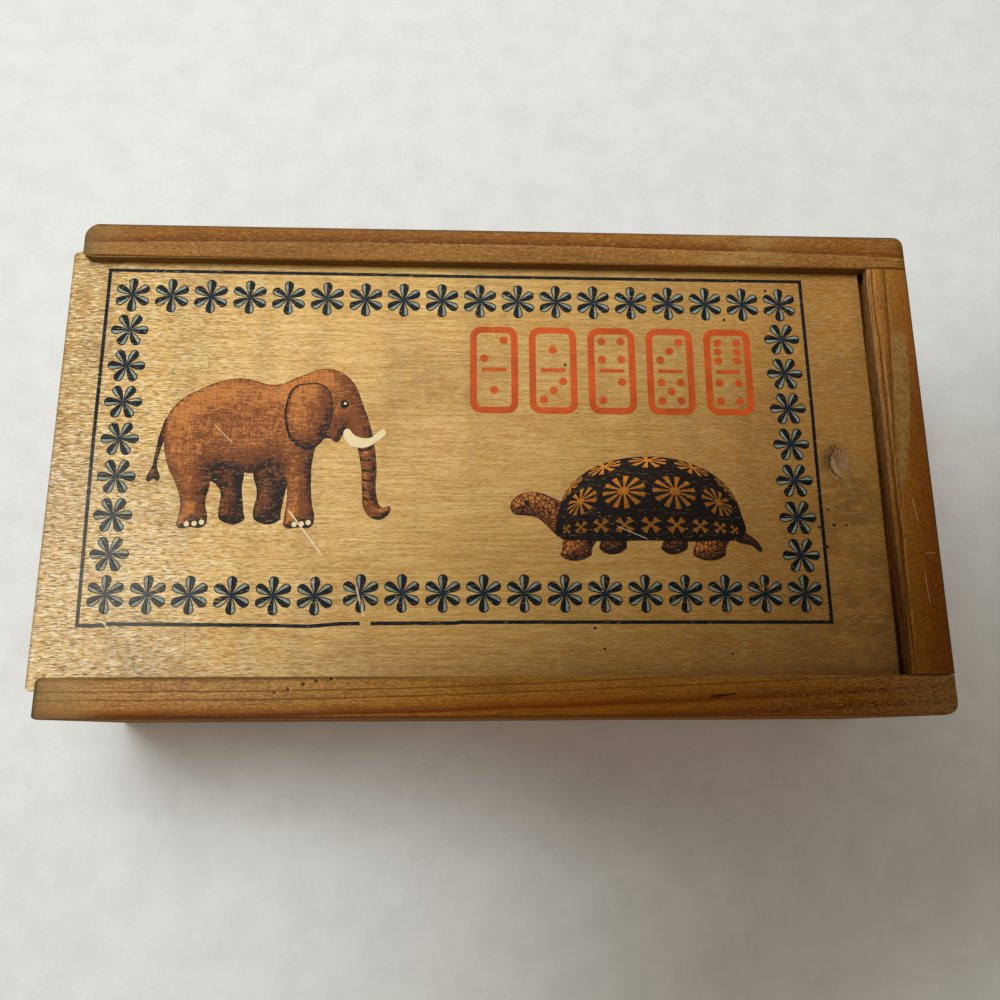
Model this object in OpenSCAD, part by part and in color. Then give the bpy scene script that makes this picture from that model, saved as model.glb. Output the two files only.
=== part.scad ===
// Domino storage box: a pine case with a plywood lid that slides out at one end.
// Origin: middle of the case's underside. +X points to the stop end, +Z up.

/* [Case] */
// Outside length of the case, along the slide of the lid
case_l = 185; // [150:1:260]
// Outside width of the case
case_w = 107.5; // [85:0.5:150]
// Outside height of the case
case_h = 52; // [36:0.5:80]
// Thickness of the two long rails
rail_t = 8.2; // [7:0.1:12]
// Thickness of the two end boards
end_t = 9.5; // [7:0.1:14]

/* [Lid groove] */
// Wood left above the groove, from the rim down to the groove
lip_h = 2.8; // [2:0.1:5]
// Depth of the groove in the rails
groove_d = 3; // [2:0.1:4]
// Depth of the groove in the stop end
stop_groove_d = 3; // [2:0.1:5]
// Play of the lid in the groove, up and down
lid_lift_play = 0.4; // [0.2:0.05:0.8]
// Part of that play that lies under the lid
lid_rest_gap = 0.1; // [0.05:0.01:0.15]
// Play between each long edge of the lid and the bottom of its groove
lid_side_play = 0.35; // [0.2:0.05:0.8]
// Play between the closed lid and the bottom of the stop end's groove
lid_end_play = 0.8; // [0.3:0.1:1.5]

/* [Lid] */
// Thickness of the plywood lid
lid_t = 3; // [2.5:0.1:5]
// How far the lid stands out past the open end, 0 when it is closed
lid_pull = 3; // [0:0.5:120]
// Radius of the lid's two outer corners
lid_corner_r = 1.4; // [0.5:0.1:4]
// Radius that eases the lid's outer top edge
lid_ease_r = 0.4; // [0.2:0.1:1]

/* [Nail nick] */
// Distance of the nick's heel from the lid's inner end
nick_from_end = 10.8; // [8:0.1:20]
// Distance of the nick from the lid's centre line
nick_off_centre = 0.8; // [-10:0.1:10]
// Foot radius of the round gouge that cuts the nick
nick_foot_r = 4.2; // [3:0.1:5]
// Radius of the gouge's domed foot
nick_dome_r = 11; // [9:0.5:20]
// Flare of the gouge's side
nick_flare = 32; // [25:1:40]
// Lean of the gouge, which slopes the nick's floor
nick_lean = 22; // [18:1:26]
// Depth of the heel of the nick
nick_depth = 1; // [0.6:0.1:1.2]

/* [Base] */
// Thickness of the plywood base
base_t = 3; // [2.5:0.1:6]
// How far the base is let into each rail
base_let_in = 4; // [3:0.1:5]
// Gap between the base's long edges and the rails
base_play = 0.1; // [0.05:0.05:0.3]

/* [Sanded corners] */
// Radius of the outside corner at the back of the open end
back_open_r = 4; // [1:0.1:5]
// Radius of the outside corner at the back of the stop end
back_stop_r = 3; // [1:0.1:5]
// Radius of the outside corner at the front of the open end
front_open_r = 1.3; // [1:0.1:5]
// Radius of the outside corner at the front of the stop end
front_stop_r = 3.2; // [1:0.1:5]
// Radius of the inside corner at each rail's open end
rail_tip_r = 1.6; // [0.5:0.1:2.5]
// Radius that eases the top edges of the rails
rail_ease_r = 0.7; // [0.3:0.1:1.2]
// Radius that eases the top edges of the end boards
end_ease_r = 0.5; // [0.3:0.1:1.2]

/* [Joint relief] */
// Length of the small square relief where the back groove runs past the stop end
relief_l = 1; // [0.5:0.1:2]
// Width of that relief
relief_w = 1.6; // [0.8:0.1:2.5]
// Rise of that relief above the groove
relief_rise = 0.7; // [0.3:0.1:1.2]

/* [Brads] */
// Shank diameter of every brad
brad_d = 1.2; // [1:0.1:1.6]
// Head diameter of every brad
brad_head_d = 2; // [1.8:0.1:2.6]
// Thickness of a brad's head
brad_head_t = 0.8; // [0.5:0.1:1.2]
// Length of the brads that hold the rails to the end boards
rail_brad_l = 22; // [18:1:28]
// Length of the brads that hold the base
base_brad_l = 13; // [10:1:16]
// Gap round every brad in its hole
brad_gap = 0.03; // [0.02:0.01:0.05]
// Distance of the brads from the inner face of each end board
brad_inset = 4; // [3:0.1:5]
// Height of the lower rail brads above the base
rail_brad_low = 9; // [6:0.5:12]
// Depth of the upper rail brads under the lid groove
rail_brad_high = 8; // [6:0.5:10]
// Distance from each end board to the nearest base brad of a rail
side_brad_margin = 20; // [12:1:30]
// Distance from each rail to the nearest base brad of an end board
end_brad_margin = 22; // [16:1:26]
// Number of base brads along each rail
side_brads = 3; // [2:1:5]
// Number of base brads along each end board
end_brads = 2; // [2:1:4]

/* [Hidden] */
$fn = 64;

pine = "#b5813f";
dark_pine = "#9c6a33";
birch = "#c99a55";
steel = "#8d8d8a";

over = 1;                                        // how far a cutter runs past the wood
inside_w = case_w - 2 * rail_t;
groove_h = lid_t + lid_lift_play;
groove_top = case_h - lip_h;
groove_floor = groove_top - groove_h;
stop_face = case_l / 2 - end_t;                  // inner face of the stop end
lid_w = inside_w + 2 * (groove_d - lid_side_play);
lid_l = case_l - end_t + stop_groove_d - lid_end_play;
lid_low = groove_floor + lid_rest_gap;
lid_high = lid_low + lid_t;
lid_open_x = -case_l / 2 - lid_pull;             // the lid's outer end
lid_inner_x = lid_open_x + lid_l;
nick_x = lid_inner_x - nick_from_end;
brad_hole_d = brad_d + 2 * brad_gap;
head_hole_d = brad_head_d + 2 * brad_gap;
end_brad_x = stop_face + brad_inset;             // where the rail brads enter the end boards
rail_brad_z = [base_t + rail_brad_low, groove_floor - rail_brad_high];
base_brad_y = inside_w / 2 + base_let_in / 2;    // middle of the rail's rebate
side_brad_span = 2 * (stop_face - side_brad_margin);   // first to last base brad of a rail
end_brad_span = inside_w - 2 * end_brad_margin;        // first to last base brad of an end board

// What comes off a square corner at the origin, whose wood lies towards +X +Y.
module corner_waste(r) {
    difference() {
        translate([-over, -over]) square(r + over);
        translate([r, r]) circle(r);
    }
}

// Rectangle from low to high, with a radius on each corner:
// [left low, right low, right high, left high], 0 for a square corner.
module eased_plate(low, high, radii) {
    difference() {
        translate(low) square(high - low);
        if (radii[0] > 0) translate(low) corner_waste(radii[0]);
        if (radii[1] > 0) translate([high.x, low.y]) mirror([1, 0]) corner_waste(radii[1]);
        if (radii[2] > 0) translate(high) rotate(180) corner_waste(radii[2]);
        if (radii[3] > 0) translate([low.x, high.y]) mirror([0, 1]) corner_waste(radii[3]);
    }
}

// Stands a profile drawn in Y and Z up, and runs it along X from x0 to x1.
module run_along_x(x0, x1) {
    translate([x0, 0, 0]) rotate([90, 0, 90]) linear_extrude(x1 - x0) children();
}

// Stands a profile drawn in X and Z up, and runs it along Y from y0 to y1.
module run_along_y(y0, y1) {
    translate([0, y1, 0]) rotate([90, 0, 0]) linear_extrude(y1 - y0) children();
}

// Section of the moulding: lid groove and base rebate on its inner face.
module rail_section() {
    inner = inside_w / 2;
    difference() {
        eased_plate([inner, 0], [case_w / 2, case_h], [0, 0, rail_ease_r, end_ease_r]);
        translate([inner - over, groove_floor]) square([groove_d + over, groove_h]);
        translate([inner - over, -over]) square([base_let_in + over, base_t + over]);
    }
}

// Straight round hole for a brad, with the wider seat of its head, pointing up from the head.
module brad_hole(length) {
    translate([0, 0, -over]) cylinder(d = head_hole_d, h = brad_head_t + brad_gap + over);
    cylinder(d = brad_hole_d, h = length + brad_gap);
}

module brad(length) {
    cylinder(d = brad_head_d, h = brad_head_t);
    translate([0, 0, brad_head_t / 2]) cylinder(d = brad_d, h = length - brad_head_t / 2);
}

// Sets its child at every brad that goes through a back rail, head outwards.
module at_back_brads() {
    for (x = [-end_brad_x, end_brad_x], z = rail_brad_z)
        translate([x, case_w / 2, z]) rotate([90, 0, 0]) children();
}

// Sets its child at every base brad that goes up into a back rail.
module at_back_base_brads() {
    for (i = [0 : side_brads - 1])
        translate([(i / (side_brads - 1) - 0.5) * side_brad_span, base_brad_y, 0]) children();
}

// Sets its child at every base brad that goes up into an end board.
module at_end_base_brads() {
    for (x = [-end_brad_x, end_brad_x], i = [0 : end_brads - 1])
        translate([x, (i / (end_brads - 1) - 0.5) * end_brad_span, 0]) children();
}

// Rail at +Y, with the radii of its outside corners at the open and the stop end.
module rail(open_r, stop_r) {
    x0 = -case_l / 2;
    x1 = case_l / 2;
    difference() {
        intersection() {
            run_along_x(x0, x1) rail_section();
            linear_extrude(case_h)
                eased_plate([x0, inside_w / 2], [x1, case_w / 2], [rail_tip_r, 0, stop_r, open_r]);
            run_along_y(0, case_w)
                eased_plate([x0, 0], [x1, case_h], [0, 0, rail_ease_r, rail_ease_r]);
        }
        at_back_brads() brad_hole(rail_brad_l);
        at_back_base_brads() brad_hole(base_brad_l);
    }
}

module front_rail() {
    color(pine) mirror([0, 1, 0]) rail(front_open_r, front_stop_r);
}

module back_rail() {
    color(pine) rail(back_open_r, back_stop_r);
}

// Full-height board that the closed lid's inner end slides into.
module stop_end() {
    color(dark_pine)
        difference() {
            run_along_y(-inside_w / 2, inside_w / 2) difference() {
                eased_plate([stop_face, base_t], [case_l / 2, case_h], [0, 0, end_ease_r, end_ease_r]);
                translate([stop_face - over, groove_floor]) square([stop_groove_d + over, groove_h]);
            }
            translate([stop_face - over, inside_w / 2 - relief_w, groove_floor])
                cube([relief_l + over, relief_w + over, groove_h + relief_rise]);
            board_brad_holes();
        }
}

// Lower board that the lid slides out over.
module open_end() {
    color(dark_pine)
        difference() {
            run_along_y(-inside_w / 2, inside_w / 2)
                eased_plate([-case_l / 2, base_t], [-case_l / 2 + end_t, groove_floor],
                            [0, 0, end_ease_r, end_ease_r]);
            board_brad_holes();
        }
}

// Holes in the end boards for the brads that come in from the rails and the base.
module board_brad_holes() {
    at_back_brads() brad_hole(rail_brad_l);
    mirror([0, 1, 0]) at_back_brads() brad_hole(rail_brad_l);
    at_end_base_brads() brad_hole(base_brad_l);
}

// Plywood base, let into the rails and under both end boards.
module base_panel() {
    panel_w = inside_w + 2 * (base_let_in - base_play);
    color(birch)
        difference() {
            translate([-case_l / 2, -panel_w / 2, 0]) cube([case_l, panel_w, base_t]);
            at_back_base_brads() brad_hole(base_brad_l);
            mirror([0, 1, 0]) at_back_base_brads() brad_hole(base_brad_l);
            at_end_base_brads() brad_hole(base_brad_l);
        }
}

// Round gouge with a domed foot, stood on its heel at the origin and leaning back from it.
module nick_gouge() {
    dome_sag = nick_dome_r - sqrt(nick_dome_r * nick_dome_r - nick_foot_r * nick_foot_r);
    reach = nick_dome_r;
    rotate([0, -nick_lean, 0])
        translate([nick_foot_r, 0, 0])
            intersection() {
                translate([0, 0, -dome_sag])
                    cylinder(r1 = nick_foot_r - dome_sag * tan(nick_flare),
                             r2 = nick_foot_r + reach * tan(nick_flare), h = reach + dome_sag);
                translate([0, 0, nick_dome_r - dome_sag]) sphere(nick_dome_r);
            }
}

// Plywood lid with a nail nick near its inner end.
module sliding_lid() {
    color(birch)
        difference() {
            intersection() {
                linear_extrude(case_h)
                    eased_plate([lid_open_x, -lid_w / 2], [lid_inner_x, lid_w / 2],
                                [lid_corner_r, 0, 0, lid_corner_r]);
                run_along_y(-lid_w / 2, lid_w / 2)
                    eased_plate([lid_open_x, lid_low], [lid_inner_x, lid_high], [0, 0, 0, lid_ease_r]);
            }
            translate([nick_x, nick_off_centre, lid_high - nick_depth]) nick_gouge();
        }
}

// Brads through both rails into the end boards.
module rail_brads() {
    color(steel) {
        at_back_brads() brad(rail_brad_l);
        mirror([0, 1, 0]) at_back_brads() brad(rail_brad_l);
    }
}

// Brads up through the base into the rails and the end boards.
module base_brads() {
    color(steel) {
        at_back_base_brads() brad(base_brad_l);
        mirror([0, 1, 0]) at_back_base_brads() brad(base_brad_l);
        at_end_base_brads() brad(base_brad_l);
    }
}

front_rail();
back_rail();
stop_end();
open_end();
base_panel();
sliding_lid();
rail_brads();
base_brads();
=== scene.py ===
"""Domino storage box: a worn pine case, its printed plywood lid and a plain studio round them."""
import math

import bmesh
import bpy
from bpy.props import FloatProperty, FloatVectorProperty, PointerProperty
from mathutils import Matrix, Vector, noise
from mathutils.kdtree import KDTree


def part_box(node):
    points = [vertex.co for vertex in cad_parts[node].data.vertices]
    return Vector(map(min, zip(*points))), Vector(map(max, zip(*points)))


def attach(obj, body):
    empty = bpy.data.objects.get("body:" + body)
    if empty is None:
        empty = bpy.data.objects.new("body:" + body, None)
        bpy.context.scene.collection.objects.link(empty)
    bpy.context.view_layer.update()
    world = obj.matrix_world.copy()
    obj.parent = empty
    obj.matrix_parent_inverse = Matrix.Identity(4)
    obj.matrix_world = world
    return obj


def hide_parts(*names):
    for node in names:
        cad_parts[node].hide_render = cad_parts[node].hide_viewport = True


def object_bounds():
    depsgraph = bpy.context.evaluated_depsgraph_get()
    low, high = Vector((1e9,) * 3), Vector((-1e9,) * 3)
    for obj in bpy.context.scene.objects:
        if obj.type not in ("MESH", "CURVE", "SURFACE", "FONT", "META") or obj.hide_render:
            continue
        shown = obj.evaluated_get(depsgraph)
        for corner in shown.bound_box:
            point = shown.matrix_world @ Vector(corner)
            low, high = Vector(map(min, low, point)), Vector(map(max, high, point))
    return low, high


bl_info = {
    "name": "Domino storage box",
    "version": (1, 0, 0),
    "blender": (4, 5, 0),
    "location": "3D View > Sidebar > Domino box",
    "description": "Dresses the wooden storage box with a sliding, printed lid",
    "category": "Object",
}

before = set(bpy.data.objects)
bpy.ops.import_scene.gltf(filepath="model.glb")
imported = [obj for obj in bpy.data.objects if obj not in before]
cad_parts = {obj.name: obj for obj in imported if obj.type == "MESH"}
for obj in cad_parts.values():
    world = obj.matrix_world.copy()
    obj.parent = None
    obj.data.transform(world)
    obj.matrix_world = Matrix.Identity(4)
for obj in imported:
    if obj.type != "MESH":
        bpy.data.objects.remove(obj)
CAD_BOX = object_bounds()

MM = 0.001
WELD = 1e-6                     # vertices closer than this are one
SHARP = math.radians(38)        # arrises steeper than this stay crisp


# Sizes and colours that a user would change

def linear(red, green, blue):
    """A colour written from 0 to 255, as the shaders read it."""
    return tuple(
        c / 255 / 12.92 if c <= 10 else ((c / 255 + 0.055) / 1.055) ** 2.4
        for c in (red, green, blue)
    )


def colour(name, value, about):
    return FloatVectorProperty(
        name=name, description=about, default=linear(*value), subtype="COLOR", min=0, max=1
    )


def length(name, mm, about):
    return FloatProperty(
        name=name, description=about, default=mm * MM, unit="LENGTH", precision=5
    )


def location(name, metres, about):
    return FloatVectorProperty(
        name=name, description=about, default=metres, subtype="TRANSLATION", unit="LENGTH",
        precision=5
    )


def size(name, metres, about):
    return FloatProperty(name=name, description=about, default=metres, unit="LENGTH", min=0)


def power(name, watts, about):
    return FloatProperty(name=name, description=about, default=watts, unit="POWER", min=0)


def angle(name, degrees, about):
    return FloatProperty(
        name=name, description=about, default=math.radians(degrees), subtype="ANGLE"
    )


def share(name, value, about):
    return FloatProperty(
        name=name, description=about, default=value, min=0, max=1, subtype="FACTOR"
    )


class DOMINOBOX_PG_pine(bpy.types.PropertyGroup):
    """Wood of the rails and end boards."""

    early: colour("Early wood", (180, 124, 48), "Pale wood of a growth ring")
    late: colour("Late wood", (104, 54, 10), "Dark wood that closes a growth ring")
    shade: colour("Old varnish", (118, 76, 28), "Tone of the varnish where it has browned")
    # also paints shade along the outer arrises, the top of the outer faces and the rails' inner
    # walls
    grime_and_shade: colour("Grime", (48, 27, 10), "Dirt that gathers on end grain and arrises")
    cut: length("Cut pitch", 3.5, "Spacing of the loops that carry the unevenness")
    wave: length("Unevenness", 0.09, "How far a planed face wanders inward")
    wear: length("Arris wear", 0.55, "How far a rubbed arris falls back")
    gloss: share("Roughness", 0.44, "Roughness of the satin varnish")


class DOMINOBOX_PG_ply(bpy.types.PropertyGroup):
    """Plywood of the lid and the base."""

    pale: colour("Pale veneer", (232, 192, 112), "Lightest tone of the lid's veneer")
    gold: colour("Golden veneer", (196, 144, 58), "Middle tone of the lid's veneer")
    # also paints shade towards the stop end and the near right
    warm: colour("Warm veneer", (160, 106, 30), "Browned tone towards the stop end")
    # also paints the sheen's sparkle on the lid's left part
    cream: colour("Bright fibre", (252, 236, 190), "Bright fibres of the veneer")
    # also paints shade along the near margin
    umber: colour("Browned varnish", (128, 82, 26), "Varnish along the near margin")
    soil: colour("Soil", (96, 62, 26), "Handling dirt rubbed into the lid")
    fleck: colour("Fleck", (104, 74, 32), "Short dark fibres of the veneer")
    core: colour("Core ply", (128, 88, 48), "End grain of the middle ply")
    bare: colour("Bare ply", (205, 168, 118), "Unvarnished veneer of the base")
    gloss: share("Roughness", 0.36, "Roughness of the lid's worn varnish")


class DOMINOBOX_PG_print(bpy.types.PropertyGroup):
    """Print on the lid."""

    lift: length("Ink lift", 0.03, "Thickness of the ink above the veneer")
    line: length("Line", 0.76, "Width of the border line")
    petal: length("Petal reach", 4.05, "Centre to tip of a floret's petal")
    petal_w: length("Petal width", 2.16, "Greatest width of a petal")
    outline: length("Petal outline", 0.24, "Width of the line round a petal")
    ink: colour("Ink", (8, 19, 26), "Border and floret ink")
    heart: colour("Floret heart", (8, 36, 54), "Blue ink where the petals meet")
    haze: colour("Petal light", (142, 152, 140), "Thin pale ink in the light half of a petal")
    orange: colour("Orange", (206, 84, 24), "Ink of the printed tiles")
    tile_w: length("Printed tile width", 10.6, "Width of a printed domino tile")
    tile_h: length("Printed tile height", 20.4, "Height of a printed domino tile")
    tile_pitch: length("Printed tile pitch", 13.1, "Spacing of the printed tiles")
    stroke: length("Tile stroke", 1.5, "Width of a printed tile's outline")
    pip: length("Pip", 0.92, "Radius of a printed pip")
    hide_light: colour("Hide, lit", (196, 122, 58), "Lit hide of the printed elephant")
    hide: colour("Hide", (122, 66, 28), "Middle tone of the printed hide")
    hide_dark: colour("Hide, shaded", (34, 19, 14), "Shaded hide and outlines")
    ivory: colour("Ivory", (232, 214, 170), "Tusk and nails")
    ray: colour("Shell ray", (214, 132, 40), "Rays on the printed tortoise's shell")
    shell: colour("Shell", (30, 19, 14), "Dark ground of the shell")


class DOMINOBOX_PG_studio(bpy.types.PropertyGroup):
    """Camera, lamps and floor."""

    camera_place: location(
        "Camera place", (-0.00942, -0.05682, 0.24214), "Where the camera stands"
    )
    camera_turn: FloatVectorProperty(
        name="Camera turn", description="Turn of the camera about X, Y and Z, Z first",
        default=(0.245, -0.044, 0.005), subtype="EULER", unit="ROTATION"
    )
    lens: FloatProperty(
        name="Lens", description="Focal length in millimetres on a 36 mm sensor",
        default=33.67, min=10, max=200
    )
    key_place: location("Softbox place", (-0.20, 0.25, 0.88), "Centre of the softbox")
    key_aim: location("Softbox aim", (0.0, 0.03, 0.0), "Point that the softbox faces")
    key_size: size("Softbox width", 0.5, "Width of the softbox, left to right")
    key_depth: size("Softbox depth", 0.5, "Depth of the softbox, front to back")
    key_power: power("Softbox power", 6.5, "Power of the softbox")
    card_place: location(
        "Card place", (0.069, -0.012, 0.17), "Middle of the card that shades the front"
    )
    card_turn: angle("Card turn", 25, "Turn of the card about the vertical")
    card_size: size("Card size", 0.118, "Side of the card across its shading edge")
    fill: FloatProperty(
        name="Room light", description="Strength of the even light from all round", default=0.40,
        min=0, max=2
    )
    fill_tint: colour("Room light tint", (255, 241, 218), "Warmth of the even light")
    key_tint: colour("Softbox tint", (249, 254, 255), "Coolness of the softbox")
    floor: colour("Floor", (227, 229, 230), "Colour of the table under the box")


# Shader maths

class Wire:
    """A shader socket that takes part in Python arithmetic."""

    def __init__(self, finish, socket):
        self.finish = finish
        self.socket = socket

    def math(self, operation, *values):
        return self.finish.math(operation, self, *values)

    def __add__(self, other):
        return self.math("ADD", other)

    def __mul__(self, other):
        return self.math("MULTIPLY", other)

    def __sub__(self, other):
        return self.math("SUBTRACT", other)

    def __truediv__(self, other):
        return self.math("DIVIDE", other)

    def __pow__(self, other):
        return self.math("POWER", other)

    def __rsub__(self, other):
        return self.finish.math("SUBTRACT", other, self)

    def __abs__(self):
        return self.math("ABSOLUTE")

    __radd__ = __add__
    __rmul__ = __mul__


class Finish:
    """A material while it is built. Places on the piece are read in millimetres."""

    def __init__(self, name):
        self.begin(name)
        place = self.add("ShaderNodeTexCoord", out="Object")
        self.place = self.vector("MULTIPLY", place, (1 / MM, 1 / MM, 1 / MM))
        self.x, self.y, self.z = self.parts(self.place)
        self.facing = self.parts(self.add("ShaderNodeTexCoord", out="Normal"))

    def begin(self, name):
        self.material = bpy.data.materials.new(name)
        self.material.use_nodes = True
        self.tree = self.material.node_tree
        self.tree.nodes.clear()

    def add(self, kind, settings=None, inputs=None, out=0):
        node = self.tree.nodes.new(kind)
        for key, value in (settings or {}).items():
            if key == "stops":
                self.set_stops(node.color_ramp.elements, value)
            else:
                setattr(node, key, value)
        for key, value in (inputs or {}).items():
            if isinstance(value, Wire):
                self.tree.links.new(value.socket, node.inputs[key])
            else:
                node.inputs[key].default_value = value
        return Wire(self, node.outputs[out]) if node.outputs else None

    def set_stops(self, elements, stops):
        for _ in range(len(stops) - len(elements)):
            elements.new(1.0)
        for element, (position, tone) in zip(elements, stops):
            element.position = position
            element.color = (*tone, 1.0)

    def ramp(self, value, stops):
        """Tones at places along value; past the last stop the figure turns back on itself."""
        low, high = stops[0][0], stops[-1][0]
        spread = [((place - low) / (high - low), linear(*tone)) for place, tone in stops]
        inside = ((value - low) / (high - low)).math("PINGPONG", 1.0)
        return self.add("ShaderNodeValToRGB", {"stops": spread}, {0: inside})

    def math(self, operation, *values):
        return self.add("ShaderNodeMath", {"operation": operation}, dict(enumerate(values)))

    def vector(self, operation, *values):
        return self.add("ShaderNodeVectorMath", {"operation": operation}, dict(enumerate(values)))

    def parts(self, vector):
        return [self.add("ShaderNodeSeparateXYZ", None, {0: vector}, out) for out in range(3)]

    def joined(self, x, y, z):
        return self.add("ShaderNodeCombineXYZ", None, {0: x, 1: y, 2: z})

    def mix(self, factor, first, second, blend="MIX"):
        """Colours: first where factor is 0, second where it is 1."""
        first, second = (
            c if isinstance(c, Wire) else (*c[:3], 1.0) for c in (first, second)
        )
        return self.add(
            "ShaderNodeMix", {"data_type": "RGBA", "blend_type": blend, "clamp_factor": True},
            {0: factor, 6: first, 7: second}, 2
        )

    def step(self, value, low, high):
        """0 below low, 1 above high, and smooth between; turned round where low is above high."""
        return self.add(
            "ShaderNodeMapRange", {"interpolation_type": "SMOOTHSTEP"},
            {0: value, 1: low, 2: high, 3: 0.0, 4: 1.0}
        )

    def noise(self, vector, stretch=(1, 1, 1), shift=0.0, detail=2.0, rough=0.5, twist=0.0):
        """Soft noise from 0 to 1; stretch is cycles per millimetre along each axis."""
        moved = self.vector("MULTIPLY_ADD", vector, stretch, (shift, shift * 0.7, shift * 1.3))
        return self.add(
            "ShaderNodeTexNoise", {"noise_dimensions": "3D"},
            {"Vector": moved, "Scale": 1.0, "Detail": detail, "Roughness": rough,
             "Distortion": twist}
        )

    def spot(self, x, y, reach, edge=0.5):
        """1 inside a round spot on the lid and 0 outside it."""
        far = self.add("ShaderNodeVectorMath", {"operation": "DISTANCE"},
                       {0: self.joined(self.x, self.y, 0.0), 1: (x, y, 0.0)}, "Value")
        return self.step(far, reach * (1 + edge), reach * (1 - edge))

    def stroke(self, start, end, width):
        """1 along a straight scratch from start to end, fading out at its tips."""
        middle = [(a + b) / 2 for a, b in zip(start, end)]
        span = math.dist(start, end)
        turn_x, turn_y = (end[0] - start[0]) / span, (end[1] - start[1]) / span
        dx, dy = self.x - middle[0], self.y - middle[1]
        along = abs(dx * turn_x + dy * turn_y)
        across = abs(dy * turn_x - dx * turn_y)
        return (self.step(across, width, width * 0.3)
                * self.step(along, span / 2, span / 2 * 0.8))

    def bump(self, height, depth):
        """A relief of height, which runs from 0 to about 1, over depth in millimetres."""
        return self.add(
            "ShaderNodeBump", None, {"Strength": 1.0, "Distance": depth * MM, "Height": height}
        )

    def close(self, tone, rough, normal=None, sheen=0.5, metal=0.0):
        """Ends the tree in one Principled shader; sheen is how strongly the surface mirrors."""
        inputs = {
            "Base Color": tone, "Roughness": rough, "Specular IOR Level": sheen, "Metallic": metal
        }
        if normal:
            inputs["Normal"] = normal
        shader = self.add("ShaderNodeBsdfPrincipled", None, inputs)
        self.add("ShaderNodeOutputMaterial", None, {"Surface": shader})
        return self.material


class Shared(Finish):
    """A group of nodes that several materials use."""

    def begin(self, name):
        self.tree = bpy.data.node_groups.new(name, "ShaderNodeTree")

    def give(self, **wires):
        """Ends the group: each wire becomes an output of that name."""
        for name in wires:
            kind = "NodeSocketColor" if name == "tone" else "NodeSocketFloat"
            self.tree.interface.new_socket(name, in_out="OUTPUT", socket_type=kind)
        self.add("NodeGroupOutput", None, wires)


# Finishes

# Growth rings across the top of each board: place in board widths from its inner arris, and tone
BACK_RINGS = (
    (-0.62, (146, 102, 46)), (-0.30, (156, 110, 50)), (-0.08, (160, 114, 54)),
    (-0.02, (172, 126, 66)), (0.01, (98, 56, 16)), (0.05, (104, 58, 14)),
    (0.15, (136, 82, 26)), (0.30, (154, 100, 38)), (0.46, (160, 108, 46)), (0.62, (136, 88, 34)),
)
FRONT_RINGS = (
    (0.00, (192, 140, 80)), (0.325, (202, 150, 86)), (0.356, (122, 70, 26)),
    (0.388, (202, 150, 86)), (0.525, (200, 146, 80)), (0.556, (118, 68, 24)),
    (0.588, (202, 148, 82)), (0.74, (190, 128, 56)),
    (0.88, (134, 68, 16)), (0.93, (100, 42, 8)), (0.975, (176, 114, 46)), (1.10, (190, 124, 44)),
    (1.20, (150, 80, 20)), (1.28, (94, 38, 8)), (1.33, (172, 108, 40)), (1.60, (188, 124, 50)),
)
STOP_RINGS = (
    (-0.20, (160, 104, 42)), (0.10, (176, 120, 56)), (0.30, (172, 116, 50)), (0.44, (108, 62, 20)),
    (0.47, (166, 116, 50)), (0.75, (158, 100, 34)), (1.00, (144, 84, 22)), (1.40, (126, 70, 18)),
)
RING_DIP = 0.045                          # how far the rings shift across for each mm down
RING_LINES = 4.6                          # growth lines to a board width on the sides
RAIL_TOP = 8.2 * MM                       # width of a rail's top face

PINE_SHEEN = 0.10                         # how strongly the old varnish mirrors
HAZE_AND_SHEEN = linear(172, 144, 90)               # dry, dulled varnish, and painted sheen on the stop end's top
GRIT_AND_SHADE = linear(46, 24, 10)                 # dirt in pores, pricks and scratches, and painted shade in seams, creases and the stop end's wall
GREY_DIRT_AND_SHADE = linear(92, 76, 54)            # dirt at the rails' rubbed ends, and painted shade along the back rail's outer arris
TORN_PINE = linear(216, 172, 104)         # fresh fibres, in pores and at a prick's lip
GRAIN_LIFT = (1.9, 1.9, 2.0)              # how much brighter the finest fibres are
RESIN = linear(140, 74, 10)               # resinous heartwood
RESIN_STAIN = (0.98, 0.96, 0.50)          # how resin filters the colour of the wood
RESIN_CLOT = linear(72, 20, 4)            # resin set in a split
RUBBED_PINE = linear(190, 140, 80)        # varnish rubbed pale along the front rail's inner arris
LEFT_STAIN = (0.78, 0.80, 0.84)           # handling dirt along the front rail's left half
OUTSIDE_SHADE = (0.80, 0.76, 0.50)        # painted shade: the front rail's outer face darker and browner
OUTSIDE_RUB = 0.25                        # how much duller that face is
END_FAR_STAIN = (0.98, 0.98, 0.92)        # varnish at the stop end's far end
END_NEAR_STAIN = (1.0, 0.94, 0.52)        # redder varnish at its near end
END_LIP = linear(186, 144, 86)            # worn arris over the lid, with a painted highlight on it
END_RIDGE = linear(206, 160, 96)          # painted highlight: a second pale line behind that arris
END_WALL = linear(142, 108, 78)           # dusty wall below that arris, painted paler as if lit
END_WALL_STREAK = linear(66, 36, 22)      # dirt drawn down that wall
SCRATCHED_PINE = linear(214, 176, 120)    # bare wood in a scratch


def board_width(node):
    """Where a board's inner arris lies across its grain and how far it reaches from there."""
    low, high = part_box(node)
    axis = 1 if high.x - low.x > high.y - low.y else 0
    inner, outer = sorted((low[axis], high[axis]), key=abs)
    wall = RAIL_TOP if axis == 1 else outer - inner
    inner = outer - math.copysign(abs(wall), outer)
    return inner / MM, (outer - inner) / MM


def on_top(f):
    """1 where a board faces up."""
    return f.step(f.facing[2], 0.3, 0.7)


def back_course(f, across):
    """Rings of the back rail: one boundary that arches along the rail's middle."""
    run = f.x / 88.0
    return across - 0.545 + run * run * 0.155 + run * 0.035


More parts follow.
